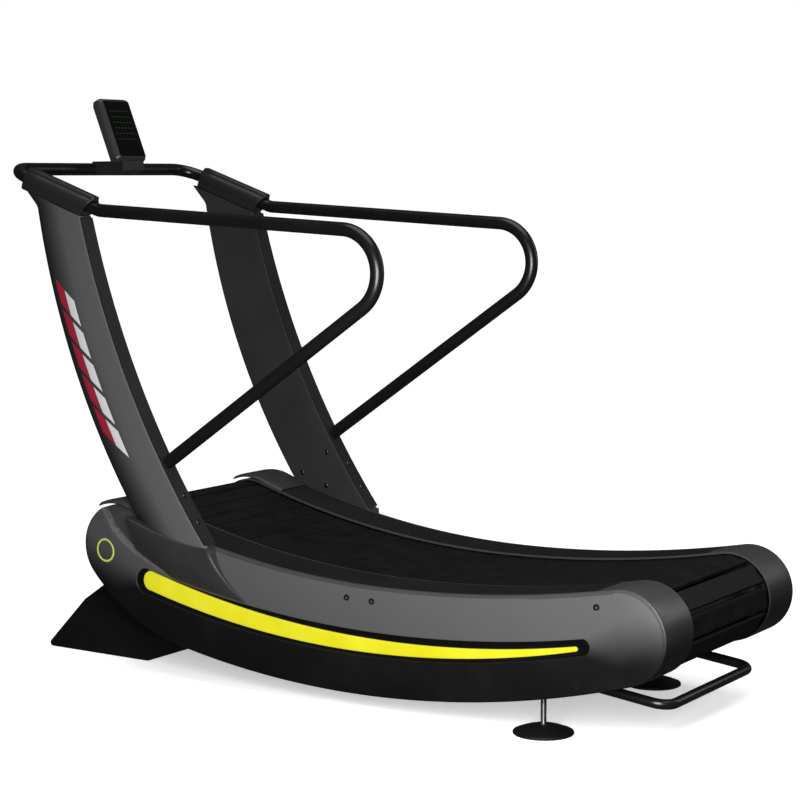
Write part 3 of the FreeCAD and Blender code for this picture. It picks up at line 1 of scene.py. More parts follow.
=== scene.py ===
import math

import bpy
import numpy as np
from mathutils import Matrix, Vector


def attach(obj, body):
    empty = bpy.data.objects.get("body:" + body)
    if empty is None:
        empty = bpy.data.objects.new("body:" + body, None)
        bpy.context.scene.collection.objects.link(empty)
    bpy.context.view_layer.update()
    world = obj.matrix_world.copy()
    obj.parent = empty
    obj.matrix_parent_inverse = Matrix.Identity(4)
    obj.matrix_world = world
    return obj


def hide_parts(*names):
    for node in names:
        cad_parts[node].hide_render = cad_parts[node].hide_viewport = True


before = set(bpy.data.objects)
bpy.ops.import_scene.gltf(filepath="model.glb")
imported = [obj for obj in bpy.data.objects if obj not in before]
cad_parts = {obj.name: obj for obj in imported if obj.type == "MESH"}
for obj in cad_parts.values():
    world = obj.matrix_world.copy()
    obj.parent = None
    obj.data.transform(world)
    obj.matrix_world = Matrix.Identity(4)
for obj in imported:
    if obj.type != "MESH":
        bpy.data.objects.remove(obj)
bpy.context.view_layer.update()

# Curved manual treadmill, in metres. +X is the machine's rear, +Y the user's right, +Z up.
# Side pieces are worked out for side = -1 (left) or +1 (right) and mirrored through their numbers.

SIDES = (("left", -1), ("right", 1))

# ------------------------------------------------------------------ colours and node trees


def linear(code):
    """An sRGB hex colour as linear light, with full opacity."""
    parts = [int(code[i : i + 2], 16) / 255 for i in (0, 2, 4)]
    return [c / 12.92 if c <= 0.04045 else ((c + 0.055) / 1.055) ** 2.4 for c in parts] + [1.0]


def node(tree, kind, inputs=(), stops=(), **settings):
    """Add a node. inputs gives a value, or the output that feeds it, for an input's name or
    number; stops are a colour ramp's (position, hex colour) pairs; settings are the node's own."""
    made = tree.nodes.new(kind)
    for name, value in settings.items():
        setattr(made, name, value)
    for name, value in dict(inputs).items():
        if isinstance(value, bpy.types.NodeSocket):
            tree.links.new(made.inputs[name], value)
        else:
            made.inputs[name].default_value = value
    for number, (position, code) in enumerate(stops):
        made.color_ramp.elements[number].position = position
        made.color_ramp.elements[number].color = linear(code)
    return made


# a noise texture's values lie mostly between these two
NOISE_LOW, NOISE_HIGH = 0.3, 0.7
FROM_NOISE = {"From Min": NOISE_LOW, "From Max": NOISE_HIGH}


def shades(dark, light):
    """A colour ramp's stops over a noise texture's range, from one hex colour to another."""
    return [(NOISE_LOW, dark), (NOISE_HIGH, light)]


def blank_material(name):
    """A material with an empty node tree, and the coordinates of the object it is on."""
    made = bpy.data.materials.new(name)
    made.use_nodes = True
    made.node_tree.nodes.clear()
    return made, made.node_tree, node(made.node_tree, "ShaderNodeTexCoord").outputs["Object"]


def moulded(name, dark, light, roughness, grain, depth, ior=1.53, level=0.3):
    """Moulded or painted surface. The colour drifts slowly between dark and light, the gloss
    is slightly uneven with it, and an even grain, given by its size and its height, is in the
    bump. level is the strength of the reflection, 0.5 being a clean polish."""
    made, tree, place = blank_material(name)
    drift = node(tree, "ShaderNodeTexNoise", {"Vector": place, "Scale": 6.0, "Detail": 3.0})
    speck = node(tree, "ShaderNodeTexNoise", {"Vector": place, "Scale": 1 / grain, "Detail": 2.0})
    tint = node(tree, "ShaderNodeValToRGB", {"Fac": drift.outputs["Fac"]}, shades(dark, light))
    gloss = node(tree, "ShaderNodeMapRange", {
        **FROM_NOISE, "Value": drift.outputs["Fac"],
        "To Min": roughness - 0.04, "To Max": roughness + 0.05})
    bump = node(tree, "ShaderNodeBump", {
        "Height": speck.outputs["Fac"], "Strength": 1.0, "Distance": depth})
    shader = node(tree, "ShaderNodeBsdfPrincipled", {
        "Base Color": tint.outputs["Color"], "Roughness": gloss.outputs["Result"],
        "Normal": bump.outputs["Normal"], "IOR": ior, "Specular IOR Level": level})
    node(tree, "ShaderNodeOutputMaterial", {"Surface": shader.outputs["BSDF"]})
    return made


def abs_with_painted_shade():
    """ABS from a spark-eroded mould: a satin skin whose fine grain breaks up the highlight,
    charcoal above the light and black below it. The black is painted shade, for the lower
    panel turning away from the light; the vertex attribute is 1 on the charcoal part and 0
    where the shade is painted. The 0.8 mm grain is drawn at 1.6 mm, so that it shows."""
    made, tree, place = blank_material("moulded_abs_painted_shade")
    painted_shading = node(tree, "ShaderNodeAttribute", attribute_name="painted_shading")
    drift = node(tree, "ShaderNodeTexNoise", {"Vector": place, "Scale": 5.0, "Detail": 3.0})
    uneven = node(tree, "ShaderNodeMapRange", {
        **FROM_NOISE, "Value": drift.outputs["Fac"], "To Min": -0.03, "To Max": 0.03})
    share = node(tree, "ShaderNodeMath", {
        0: painted_shading.outputs["Fac"], 1: uneven.outputs["Result"]}, operation="ADD")
    tint = node(tree, "ShaderNodeValToRGB", {"Fac": share.outputs[0]},
                [(0.0, "0a0a0b"), (1.0, "474748")])
    gloss = node(tree, "ShaderNodeMapRange", {
        **FROM_NOISE, "Value": drift.outputs["Fac"], "To Min": 0.34, "To Max": 0.42})
    grain = node(tree, "ShaderNodeTexNoise", {"Vector": place, "Scale": 1 / 0.0016, "Detail": 2.0})
    bump = node(tree, "ShaderNodeBump", {
        "Height": grain.outputs["Fac"], "Strength": 1.0, "Distance": 0.00006})
    shader = node(tree, "ShaderNodeBsdfPrincipled", {
        "Base Color": tint.outputs["Color"], "Roughness": gloss.outputs["Result"],
        "Normal": bump.outputs["Normal"], "IOR": 1.53, "Specular IOR Level": 0.3})
    node(tree, "ShaderNodeOutputMaterial", {"Surface": shader.outputs["BSDF"]})
    return made


# the side covers' ABS: charcoal, with shade painted in black below the light and on the rim
cover_abs = abs_with_painted_shade()
# moulded ABS for visors and boots: charcoal, with a satin sheen that rolls over the curves
abs_charcoal = moulded("moulded_abs_charcoal", "2a2a2b", "313132", 0.40, 0.0016, 0.00007)
# leather-grained ABS for the foot strips: a dry, nearly matt black that hides scuffs
abs_grained = moulded("grained_abs_tread", "0e0e0f", "121213", 0.55, 0.0028, 0.0003, level=0.12)
# moulded ABS for the console and the light trays: lets soft edges catch the light
abs_black = moulded("moulded_abs_black", "2b2b2d", "323234", 0.32, 0.0016, 0.00005)
# ABS from a polished mould, for the slot round the light: deep black with sharp highlights
abs_gloss = moulded("polished_abs_black", "070707", "0a0a0a", 0.22, 0.0012, 0.00002)
# moulded glass-filled nylon: the fibres dull the surface and cloud its gloss
nylon_black = moulded("glass_filled_nylon_black", "1c1c1d", "232324", 0.38, 0.0014, 0.0001)
# polyester powder coat on bent tube: a glossy black with orange peel of about 1.8 mm
powder_black = moulded("powder_coat_black", "0d0d0e", "111112", 0.28, 0.0018, 0.00008, 1.5, 0.4)
# matt powder coat on the stand's sheet steel: gives almost no highlight
powder_matt = moulded("powder_coat_matt_black", "0b0b0b", "0f0f0f", 0.5, 0.0018, 0.0001, 1.5, 0.2)
# graphite powder coat on the upright channels and the drums: a soft, even sheen
powder_grey = moulded("powder_coat_graphite", "272728", "2d2d2e", 0.40, 0.0018, 0.0001, 1.5)
# dark powder coat on the strips down the uprights' rear: a shade under the channels
powder_dark = moulded("powder_coat_charcoal", "18181a", "1d1d1e", 0.42, 0.0018, 0.0001, 1.5, 0.25)
# moulded rubber for feet and screw caps: dull and slightly mottled
rubber_plain = moulded("moulded_rubber_black", "060606", "090909", 0.6, 0.002, 0.0002, 1.52, 0.25)
# cast polyurethane tyres: smooth, with a waxy sheen
polyurethane = moulded("cast_polyurethane_black", "121214", "18181a", 0.45, 0.0015, 0.0001, 1.5)


def drawn_metal(name, dark, light, roughness, pattern):
    """Turned or plated metal. Fine streaks, pattern of them in a metre along each axis, move
    the colour, the gloss and the bump together, so that highlights spread across them."""
    made, tree, place = blank_material(name)
    stretch = node(tree, "ShaderNodeMapping", {"Vector": place, "Scale": pattern})
    streak = node(tree, "ShaderNodeTexNoise", {
        "Vector": stretch.outputs["Vector"], "Scale": 1.0, "Detail": 3.0})
    tint = node(tree, "ShaderNodeValToRGB", {"Fac": streak.outputs["Fac"]}, shades(dark, light))
    gloss = node(tree, "ShaderNodeMapRange", {
        **FROM_NOISE, "Value": streak.outputs["Fac"],
        "To Min": roughness - 0.08, "To Max": roughness + 0.1})
    bump = node(tree, "ShaderNodeBump", {
        "Height": streak.outputs["Fac"], "Strength": 0.6, "Distance": 0.00004})
    shader = node(tree, "ShaderNodeBsdfPrincipled", {
        "Base Color": tint.outputs["Color"], "Roughness": gloss.outputs["Result"],
        "Normal": bump.outputs["Normal"], "Metallic": 1.0})
    node(tree, "ShaderNodeOutputMaterial", {"Surface": shader.outputs["BSDF"]})
    return made


# zinc plate on the foot screws: bright and slightly spangled
zinc_steel = drawn_metal("zinc_plated_steel", "8f9092", "b4b5b7", 0.32, (900.0, 900.0, 900.0))
# black oxide on the upright screws: dark steel that still glints
black_oxide = drawn_metal("black_oxide_steel", "3a3a3c", "4c4c4e", 0.30, (900.0, 900.0, 900.0))
# steel turned on a lathe, its 0.4 mm tool marks running round the axles and rollers
turned_steel = drawn_metal("turned_steel", "85868a", "a9abae", 0.28, (900.0, 2500.0, 900.0))


def slat_rubber():
    """Vulcanised rubber over each slat: a dull black with a diamond tread of 4 mm cells,
    scuffed a little lighter in patches where shoes land."""
    made, tree, place = blank_material("vulcanised_rubber_tread")
    turned = node(tree, "ShaderNodeMapping", {"Vector": place, "Rotation": (0.0, 0.0, math.pi / 4)})
    cells = node(tree, "ShaderNodeTexVoronoi", {
        "Vector": turned.outputs["Vector"], "Scale": 1 / 0.0042, "Randomness": 0.15})
    scuff = node(tree, "ShaderNodeTexNoise", {
        "Vector": place, "Scale": 14.0, "Detail": 5.0, "Roughness": 0.6})
    tint = node(tree, "ShaderNodeValToRGB", {"Fac": scuff.outputs["Fac"]},
                [(0.35, "080808"), (NOISE_HIGH, "101010")])
    gloss = node(tree, "ShaderNodeMapRange", {
        **FROM_NOISE, "Value": scuff.outputs["Fac"], "To Min": 0.5, "To Max": 0.66})
    bump = node(tree, "ShaderNodeBump", {
        "Height": cells.outputs["Distance"], "Strength": 0.8, "Distance": 0.0005})
    shader = node(tree, "ShaderNodeBsdfPrincipled", {
        "Base Color": tint.outputs["Color"], "Roughness": gloss.outputs["Result"],
        "Normal": bump.outputs["Normal"], "IOR": 1.52, "Specular IOR Level": 0.12})
    node(tree, "ShaderNodeOutputMaterial", {"Surface": shader.outputs["BSDF"]})
    return made


def lit_acrylic(name, body, glow, strength, cloud_size, roughness):
    """Cast acrylic with light behind it. body and glow are (dark, light) colours that the same
    soft clouding moves between, so that it looks lit from inside and not painted."""
    made, tree, place = blank_material(name)
    cloud = node(tree, "ShaderNodeTexNoise", {
        "Vector": place, "Scale": 1 / cloud_size, "Detail": 2.0})
    tints = [node(tree, "ShaderNodeValToRGB", {"Fac": cloud.outputs["Fac"]}, shades(*colours))
             for colours in (body, glow)]
    gloss = node(tree, "ShaderNodeMapRange", {
        **FROM_NOISE, "Value": cloud.outputs["Fac"],
        "To Min": roughness, "To Max": roughness + 0.15})
    shader = node(tree, "ShaderNodeBsdfPrincipled", {
        "Base Color": tints[0].outputs["Color"], "Emission Color": tints[1].outputs["Color"],
        "Roughness": gloss.outputs["Result"], "Emission Strength": strength,
        "IOR": 1.49, "Specular IOR Level": 0.2})
    node(tree, "ShaderNodeOutputMaterial", {"Surface": shader.outputs["BSDF"]})
    return made


# fluorescent acrylic, opal: an even lemon glow with no visible lamps
yellow = lit_acrylic("fluorescent_acrylic_yellow", ("858006", "8f8a0c"), ("e6e024", "f2ee3c"),
                     0.55, 0.11, 0.3)
# the nose ring in the same acrylic, greener and dimmer
green = lit_acrylic("fluorescent_acrylic_green", ("a3ad50", "b0b95e"), ("a9b64a", "b8c45c"),
                    0.15, 0.008, 0.25)

# the console's segments: over its width and over its height, where they start and end, how far
# apart they are and the share of that distance that each fills
SEGMENTS_ACROSS = (0.016, 0.106, 0.0150, 0.55)
SEGMENTS_UP = (0.040, 0.150, 0.0183, 0.16)


def console_glass():
    """Smoked acrylic over a dim display: a near-black gloss through which rows of small green
    segments show, 15 mm apart across and 18 mm apart up. Each row and column is the fraction
    of the distance over the spacing, where it is under the segment's share. The lens's UV map
    runs across and up it in metres."""
    made, tree, _ = blank_material("smoked_acrylic_lens")
    uv = node(tree, "ShaderNodeUVMap").outputs["UV"]
    across, up = node(tree, "ShaderNodeSeparateXYZ", {"Vector": uv}).outputs[:2]
    shown = 1.0
    for along, (low, high, spacing, share) in ((across, SEGMENTS_ACROSS), (up, SEGMENTS_UP)):
        cells = node(tree, "ShaderNodeMath", {0: along, 1: 1 / spacing}, operation="MULTIPLY")
        part = node(tree, "ShaderNodeMath", {0: cells.outputs[0]}, operation="FRACT").outputs[0]
        tests = (("LESS_THAN", part, share), ("GREATER_THAN", along, low),
                 ("LESS_THAN", along, high))
        for test, source, limit in tests:
            passed = node(tree, "ShaderNodeMath", {0: source, 1: limit}, operation=test).outputs[0]
            both = node(tree, "ShaderNodeMath", {0: passed, 1: shown}, operation="MULTIPLY")
            shown = both.outputs[0]
    tint, glow = (node(tree, "ShaderNodeValToRGB", {"Fac": shown}, [(0.0, low), (1.0, high)])
                  for low, high in (("070807", "1d2c19"), ("000000", "24401d")))
    shader = node(tree, "ShaderNodeBsdfPrincipled", {
        "Base Color": tint.outputs["Color"], "Emission Color": glow.outputs["Color"],
        "Emission Strength": 0.35, "Roughness": 0.08, "IOR": 1.49, "Specular IOR Level": 0.3})
    node(tree, "ShaderNodeOutputMaterial", {"Surface": shader.outputs["BSDF"]})
    return made


# the stripe's ends, the spacing of its dashes, the share of it that each fills, and its slant
STRIPE_LOW, STRIPE_HIGH, STRIPE_SPACING, STRIPE_FILL, STRIPE_SLANT = 0.735, 1.177, 0.092, 0.80, 0.9
# each band's colour, and how far from the front edge it starts and ends
STRIPE_BANDS = (("d8d8d8", 0.072, 0.106), ("b01a38", 0.034, 0.068))
# how far back from the front edge the painted shade fades into the lacquer's full colour
PAINTED_SHADE_WIDTH = 0.125


def lacquered_shell():
    """Gloss lacquer over ABS, with a slight orange peel: graphite, with shade painted in from near
    black at the front edge, where the rounded front turns away from the light, and a plain
    two-colour stripe in it, red ahead and white behind, cut by slanted gaps. A point is inked
    where its height plus the slant times its distance across lies within the stripe, and the
    fraction of that over the spacing is under the share that a dash fills. The shell's UV map
    runs across and up in metres."""
    made, tree, place = blank_material("lacquered_abs_shell")
    drift = node(tree, "ShaderNodeTexNoise", {"Vector": place, "Scale": 5.0, "Detail": 3.0})
    uv = node(tree, "ShaderNodeUVMap").outputs["UV"]
    across, up = node(tree, "ShaderNodeSeparateXYZ", {"Vector": uv}).outputs[:2]
    uneven = node(tree, "ShaderNodeMapRange", {
        **FROM_NOISE, "Value": drift.outputs["Fac"], "To Min": -0.03, "To Max": 0.03})
    # painted shade: near black at the front edge, graphite further back
    painted_shade_share = node(tree, "ShaderNodeMath", {
        0: across, 1: 1 / PAINTED_SHADE_WIDTH, 2: uneven.outputs["Result"]}, operation="MULTIPLY_ADD")
    shell = node(tree, "ShaderNodeValToRGB", {"Fac": painted_shade_share.outputs[0]},
                 [(0.0, "0b0b0c"), (1.0, "4f4f50")])
    lean = node(tree, "ShaderNodeMath", {
        0: across, 1: STRIPE_SLANT, 2: up}, operation="MULTIPLY_ADD").outputs[0]
    cells = node(tree, "ShaderNodeMath", {0: lean, 1: 1 / STRIPE_SPACING}, operation="MULTIPLY")
    dash = node(tree, "ShaderNodeMath", {0: cells.outputs[0]}, operation="FRACT").outputs[0]
    colour = shell.outputs["Color"]
    for code, low, high in STRIPE_BANDS:
        inked = 1.0
        tests = (("LESS_THAN", dash, STRIPE_FILL), ("GREATER_THAN", lean, STRIPE_LOW),
                 ("LESS_THAN", lean, STRIPE_HIGH), ("GREATER_THAN", across, low),
                 ("LESS_THAN", across, high))
        for test, source, limit in tests:
            passed = node(tree, "ShaderNodeMath", {0: source, 1: limit}, operation=test).outputs[0]
            both = node(tree, "ShaderNodeMath", {0: passed, 1: inked}, operation="MULTIPLY")
            inked = both.outputs[0]
        mixed = node(tree, "ShaderNodeMix", data_type="RGBA")
        tree.links.new(mixed.inputs["Factor"], inked)
        tree.links.new(mixed.inputs["A"], colour)
        mixed.inputs["B"].default_value = linear(code)
        colour = mixed.outputs["Result"]
    gloss = node(tree, "ShaderNodeMapRange", {
        **FROM_NOISE, "Value": drift.outputs["Fac"], "To Min": 0.30, "To Max": 0.38})
    peel = node(tree, "ShaderNodeTexNoise", {"Vector": place, "Scale": 1 / 0.0022, "Detail": 1.0})
    bump = node(tree, "ShaderNodeBump", {
        "Height": peel.outputs["Fac"], "Strength": 1.0, "Distance": 0.00005})
    shader = node(tree, "ShaderNodeBsdfPrincipled", {
        "Base Color": colour, "Roughness": gloss.outputs["Result"],
        "Normal": bump.outputs["Normal"], "IOR": 1.5})
    node(tree, "ShaderNodeOutputMaterial", {"Surface": shader.outputs["BSDF"]})
    return made


tread = slat_rubber()
glass = console_glass()
shell_paint = lacquered_shell()

# ------------------------------------------------------------------ mesh helpers


def piece(name, parts, material, body, smooth=30.0, replaces=(), uvs=None, painted_shading=None):
    """One object from (vertices, faces) parts, with a UV map or a painted shading value for each
    vertex.
    """
    verts, faces, start = [], [], 0
    for points, polygons in parts:
        verts.append(np.asarray(points, float).reshape(-1, 3))
        faces += (np.asarray(polygons) + start).tolist()
        start += len(verts[-1])
    mesh = bpy.data.meshes.new(name)
    mesh.from_pydata(np.concatenate(verts).tolist(), [], faces)
    if uvs is not None:
        layer = mesh.uv_layers.new(name="UVMap")
        corners = np.empty(len(mesh.loops), int)
        mesh.loops.foreach_get("vertex_index", corners)
        layer.data.foreach_set("uv", np.asarray(uvs, float).reshape(-1, 2)[corners].ravel())
    if painted_shading is not None:
        mesh.attributes.new("painted_shading", "FLOAT", "POINT").data.foreach_set("value", np.ravel(painted_shading))
    mesh.validate()
    mesh.shade_smooth()
    mesh.set_sharp_from_angle(angle=math.radians(smooth))
    made = bpy.data.objects.new(name, mesh)
    bpy.context.scene.collection.objects.link(made)
    mesh.materials.append(material)
    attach(made, body)
    if replaces:
        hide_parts(*replaces)
    return made


def grid_faces(rows, columns, wrap_rows=False, wrap_columns=False):
    """Quads of a grid of rows by columns points; wrapped ends join up."""
    r = np.arange(rows if wrap_rows else rows - 1)
    c = np.arange(columns if wrap_columns else columns - 1)
    a = (r[:, None] * columns + c[None, :]).ravel()
    b = (r[:, None] * columns + (c[None, :] + 1) % columns).ravel()
    up = ((r[:, None] + 1) % rows * columns + c[None, :]).ravel()
    across = ((r[:, None] + 1) % rows * columns + (c[None, :] + 1) % columns).ravel()
    return np.stack([a, b, across, up], 1)


def facing_out(points, faces):
    """Turn the faces of a closed surface so that its signed volume is positive."""
    p = np.asarray(points, float).reshape(-1, 3)
    f = np.asarray(faces)
    volume = 0.0
    for k in range(1, f.shape[1] - 1):
        volume += np.einsum("ij,ij->i", p[f[:, 0]], np.cross(p[f[:, k]], p[f[:, k + 1]])).sum()
    return points, f[:, ::-1] if volume < 0 else f


def closed_skin(grid, onto=None):
    """A closed surface from a grid whose rows are rings: the first and last rings are closed
    onto their middle, or onto a line (one point for each point of a ring) where one is given."""
    grid = np.asarray(grid, float)
    first = np.broadcast_to(grid[0].mean(0), grid[0].shape) if onto is None else onto[0]
    last = np.broadcast_to(grid[-1].mean(0), grid[-1].shape) if onto is None else onto[1]
    grid = np.concatenate([first[None], grid, last[None]])
    rows, columns = grid.shape[:2]
    return facing_out(grid, grid_faces(rows, columns, wrap_columns=True))


def ring_skin(grid):
    """A closed surface from a grid that joins up both ways, such as a bored sleeve."""
    grid = np.asarray(grid, float)
    return facing_out(grid, grid_faces(*grid.shape[:2], wrap_rows=True, wrap_columns=True))


def spun(profile, origin, axis, count=48):
    """A profile of (radius, height) points carried round an axis from an origin."""
    axis = np.array(axis, float) / np.linalg.norm(axis)
    side = np.cross(axis, [0.0, 1.0, 0.0] if abs(axis[1]) < 0.9 else [1.0, 0.0, 0.0])
    side /= np.linalg.norm(side)
    other = np.cross(axis, side)
    turn = np.linspace(0, 2 * math.pi, count, endpoint=False)
    round_ = np.cos(turn)[:, None] * side + np.sin(turn)[:, None] * other
    profile = np.asarray(profile, float)
    grid = np.array(origin) + profile[:, :1, None] * round_[None] + (profile[:, 1:, None] * axis)
    return facing_out(grid, grid_faces(len(profile), count, wrap_columns=True))


# ------------------------------------------------------------------ outline of the base
# Tangent arcs (centre x, centre z, radius, sign of the inset, start and end angle): over the
# running surface, round the tail, along the belly, up the chin and round the nose.

END = 0.123
NOSE_X, TAIL_X, DIP = -0.6675, 0.9715, (0.2425, 0.347)
FRONT_R, REAR_R, BELLY_R, CHIN_R = 2.8, 3.6, 2.9, 0.6


def heading(start, end):
    """The direction from one point to another, in degrees from 0 to 360."""
    return math.degrees(math.atan2(end[1] - start[1], end[0] - start[0])) % 360.0


FRONT_TOP, REAR_TOP = (DIP[0], DIP[1] + FRONT_R), (DIP[0], DIP[1] + REAR_R)
NOSE = (NOSE_X, FRONT_TOP[1] - math.sqrt((FRONT_R + END) ** 2 - (NOSE_X - DIP[0]) ** 2))
TAIL = (TAIL_X, REAR_TOP[1] - math.sqrt((REAR_R + END) ** 2 - (TAIL_X - DIP[0]) ** 2))
BELLY_Z = 0.046 + BELLY_R
BELLY = (TAIL[0] - math.sqrt((BELLY_R - END) ** 2 - (BELLY_Z - TAIL[1]) ** 2), BELLY_Z)


def crossing(a, radius_a, b, radius_b):
    """The first point where two circles cross."""
    gap = math.dist(a, b)
    along = (radius_a**2 - radius_b**2 + gap**2) / (2 * gap)
    across = math.sqrt(radius_a**2 - along**2)
    ux, uz = (b[0] - a[0]) / gap, (b[1] - a[1]) / gap
    return (a[0] + along * ux + across * uz, a[1] + along * uz - across * ux)


CHIN = crossing(NOSE, CHIN_R - END, BELLY, BELLY_R - CHIN_R)
ARCS = (
    (*FRONT_TOP, FRONT_R, 1, heading(FRONT_TOP, NOSE), 270.0),
    (*REAR_TOP, REAR_R, 1, 270.0, heading(REAR_TOP, TAIL)),
    (*TAIL, END, -1, heading(TAIL, REAR_TOP), heading(BELLY, TAIL) - 360.0),
    (*BELLY, BELLY_R, -1, heading(BELLY, TAIL), heading(BELLY, CHIN)),
    (*CHIN, CHIN_R, -1, heading(BELLY, CHIN), heading(CHIN, NOSE)),
    (*NOSE, END, -1, heading(CHIN, NOSE), heading(NOSE, FRONT_TOP)),
)


def stations(counts):
    """Rows (cx, cz, radius, sign, angle), counts of them along each arc in order."""
    rows = []
    for (cx, cz, radius, sign, start, end), count in zip(ARCS, counts):
        angles = np.radians(start + (end - start) * np.arange(count) / count)
        fixed = [np.full(count, value) for value in (cx, cz, radius, sign)]
        rows.append(np.stack(fixed + [angles], 1))
    return np.concatenate(rows)


def on_loop(rows, drop):
    """Points (x, z) at the stations, moved inwards by drop along each normal."""
    radius = rows[:, 2] + rows[:, 3] * drop
    x = rows[:, 0] + radius * np.cos(rows[:, 4])
    return np.stack([x, rows[:, 1] + radius * np.sin(rows[:, 4])], 1)


def depth_inside(x, z):
    """Distance from a point inside the base to its outline: the least over the arcs whose
    sector holds the point."""
    x, z = np.asarray(x, float), np.asarray(z, float)
    best = np.full(np.broadcast(x, z).shape, 9.0)
    for cx, cz, radius, sign, start, end in ARCS:
        away = np.hypot(x - cx, z - cz)
        angle = np.degrees(np.arctan2(z - cz, x - cx))
        low, high = min(start, end), max(start, end)
        inside = (angle - low) % 360.0 <= high - low
        best = np.where(inside, np.minimum(best, sign * (away - radius)), best)
    return best


def top_z(x, drop=0.0):
    """Height of the running curve at x, lowered by drop."""
    x = np.asarray(x, float)
    top = np.where(x > DIP[0], REAR_TOP[1], FRONT_TOP[1])
    radius = np.where(x > DIP[0], REAR_R, FRONT_R)
    return top - np.sqrt((radius + drop) ** 2 - (x - DIP[0]) ** 2)


# ------------------------------------------------------------------ side covers

# how far out the face stands, how far it falls away at the outline and over what distance, the
# radius of its edge, and how far in the rim starts
FACE, CROWN, CROWN_REACH, FILLET, INNER = 0.408, 0.012, 0.11, 0.0045, 0.242
# radius of the slot's lip, how far out the slot's floor is, and the light's back and front
LIP, SLOT_FLOOR, LIGHT_BACK, LIGHT_FRONT = 0.0026, 0.4010, 0.4003, 0.4058
# how far the slot's floor reaches past the light's edge
LIGHT_GAP = 0.0012
# how far the crest stands proud, how far the face behind it is set back, the width of the step
# between them, and how far ahead of the crest the swell starts
SWELL, SET_BACK, STEP, SWELL_REACH = 0.005, 0.011, 0.010, 0.040
# inboard of this edge the rim's charcoal is darkened by this share, as painted shade where the rim
# turns from the light
RIM_EDGE, RIM_PAINTED_SHADE = 0.398, 0.55
# a hair's breadth: it keeps two surfaces apart, and draws the covers' skin in, so that it lies
# within the facets of the CAD model
HAIR = 0.0001
SLOT_TOP, SLOT_BOTTOM = (0.2447, 0.228, 3.4047), (0.1638, 0.156, 2.979)
LIGHT_TOP, LIGHT_BOTTOM = (0.2650, 0.206, 3.061), (0.1691, 0.168, 2.8562)
# the crest that runs down from the nose's top into the slot's upper edge
CREST = np.array([(-0.7065, 0.466), (-0.6775, 0.428), (-0.6478, 0.399), (-0.6106, 0.376),
                  (-0.5662, 0.351), (-0.5147, 0.3265), (-0.4637, 0.3035)])
CREST_CURVE = np.polyfit(CREST[:, 0], CREST[:, 1], 3)


def bow(arc, x, grow=0.0):
    """Height of a shallow arc (lowest x, lowest z, radius) at x."""
    return arc[1] + arc[2] - np.sqrt((arc[2] - grow) ** 2 - (x - arc[0]) ** 2)


def face_y(x, z):
    """Outer face: flat in the middle, falling away towards the outline as the square of the
    distance. Ahead of the crest the face swells up to it, and behind it the face is set back,
    so that the crest is a ridge."""
    inside = depth_inside(x, z)
    fall = CROWN * np.clip(1 - inside / CROWN_REACH, 0, 1) ** 2
    beyond = (z - np.polyval(CREST_CURVE, x)) / math.sqrt(1.6)
    near = np.clip((-0.44 - x) / 0.08, 0, 1) * np.clip((x + 0.79) / 0.04, 0, 1)
    step = np.clip(beyond / STEP, 0, 1)
    step = step * step * (3 - 2 * step)
    swell = SWELL * np.exp(-((np.minimum(beyond, 0) / SWELL_REACH) ** 2))
    return FACE - fall + near * (swell * (1 - step) - SET_BACK * step)


def painted_shading_of(x, z):
    """Share of lit charcoal in the covers' colour: 1 above the light's middle line and 0 below
    it, where black is painted as shade of the lower panel; the change is sharp along the slot
    and spreads out beyond its ends into a gradient of painted shade."""
    line = (bow(SLOT_TOP, x) + bow(SLOT_BOTTOM, x)) / 2
    past = np.clip(np.maximum(-0.55 - x, x - 0.85), 0, 0.12)
    share = np.clip((z - line) / (0.036 + 1.0 * past) + 0.5, 0, 1)
    return share * share * (3 - 2 * share)


def band_loop(top, bottom, front_x, rear_x, front_reach, rear_reach, counts, grow=0.0):
    """A long band between two shallow arcs: along the top, round the rear end as half an
    ellipse, back along the bottom and round the front end."""
    u = [np.arange(c) / c for c in counts]
    xt = front_x + (rear_x - front_x) * u[0]
    upper = np.stack([xt, bow(top, xt, grow)], 1)
    xb = rear_x + (front_x - rear_x) * u[2]
    lower = np.stack([xb, bow(bottom, xb, -grow)], 1)

    def end(x, reach, phase, steps):
        """Half an ellipse between the two arcs at x, reaching out by reach."""
        high, low = bow(top, x, grow), bow(bottom, x, -grow)
        turn = phase - np.pi * steps
        z = (high + low) / 2 + (high - low) / 2 * np.sin(turn)
        return np.stack([x + (reach + grow) * np.cos(turn), z], 1)

    rear = end(rear_x, rear_reach, np.pi / 2, u[1])
    front = end(front_x, front_reach, -np.pi / 2, u[3])
    return np.concatenate([upper, rear, lower, front])


SLOT = dict(top=SLOT_TOP, bottom=SLOT_BOTTOM, front_x=-0.548, rear_x=0.868,
            front_reach=0.040, rear_reach=0.020)
LIGHT = dict(top=LIGHT_TOP, bottom=LIGHT_BOTTOM, front_x=-0.536, rear_x=0.843,
             front_reach=0.026, rear_reach=0.007)


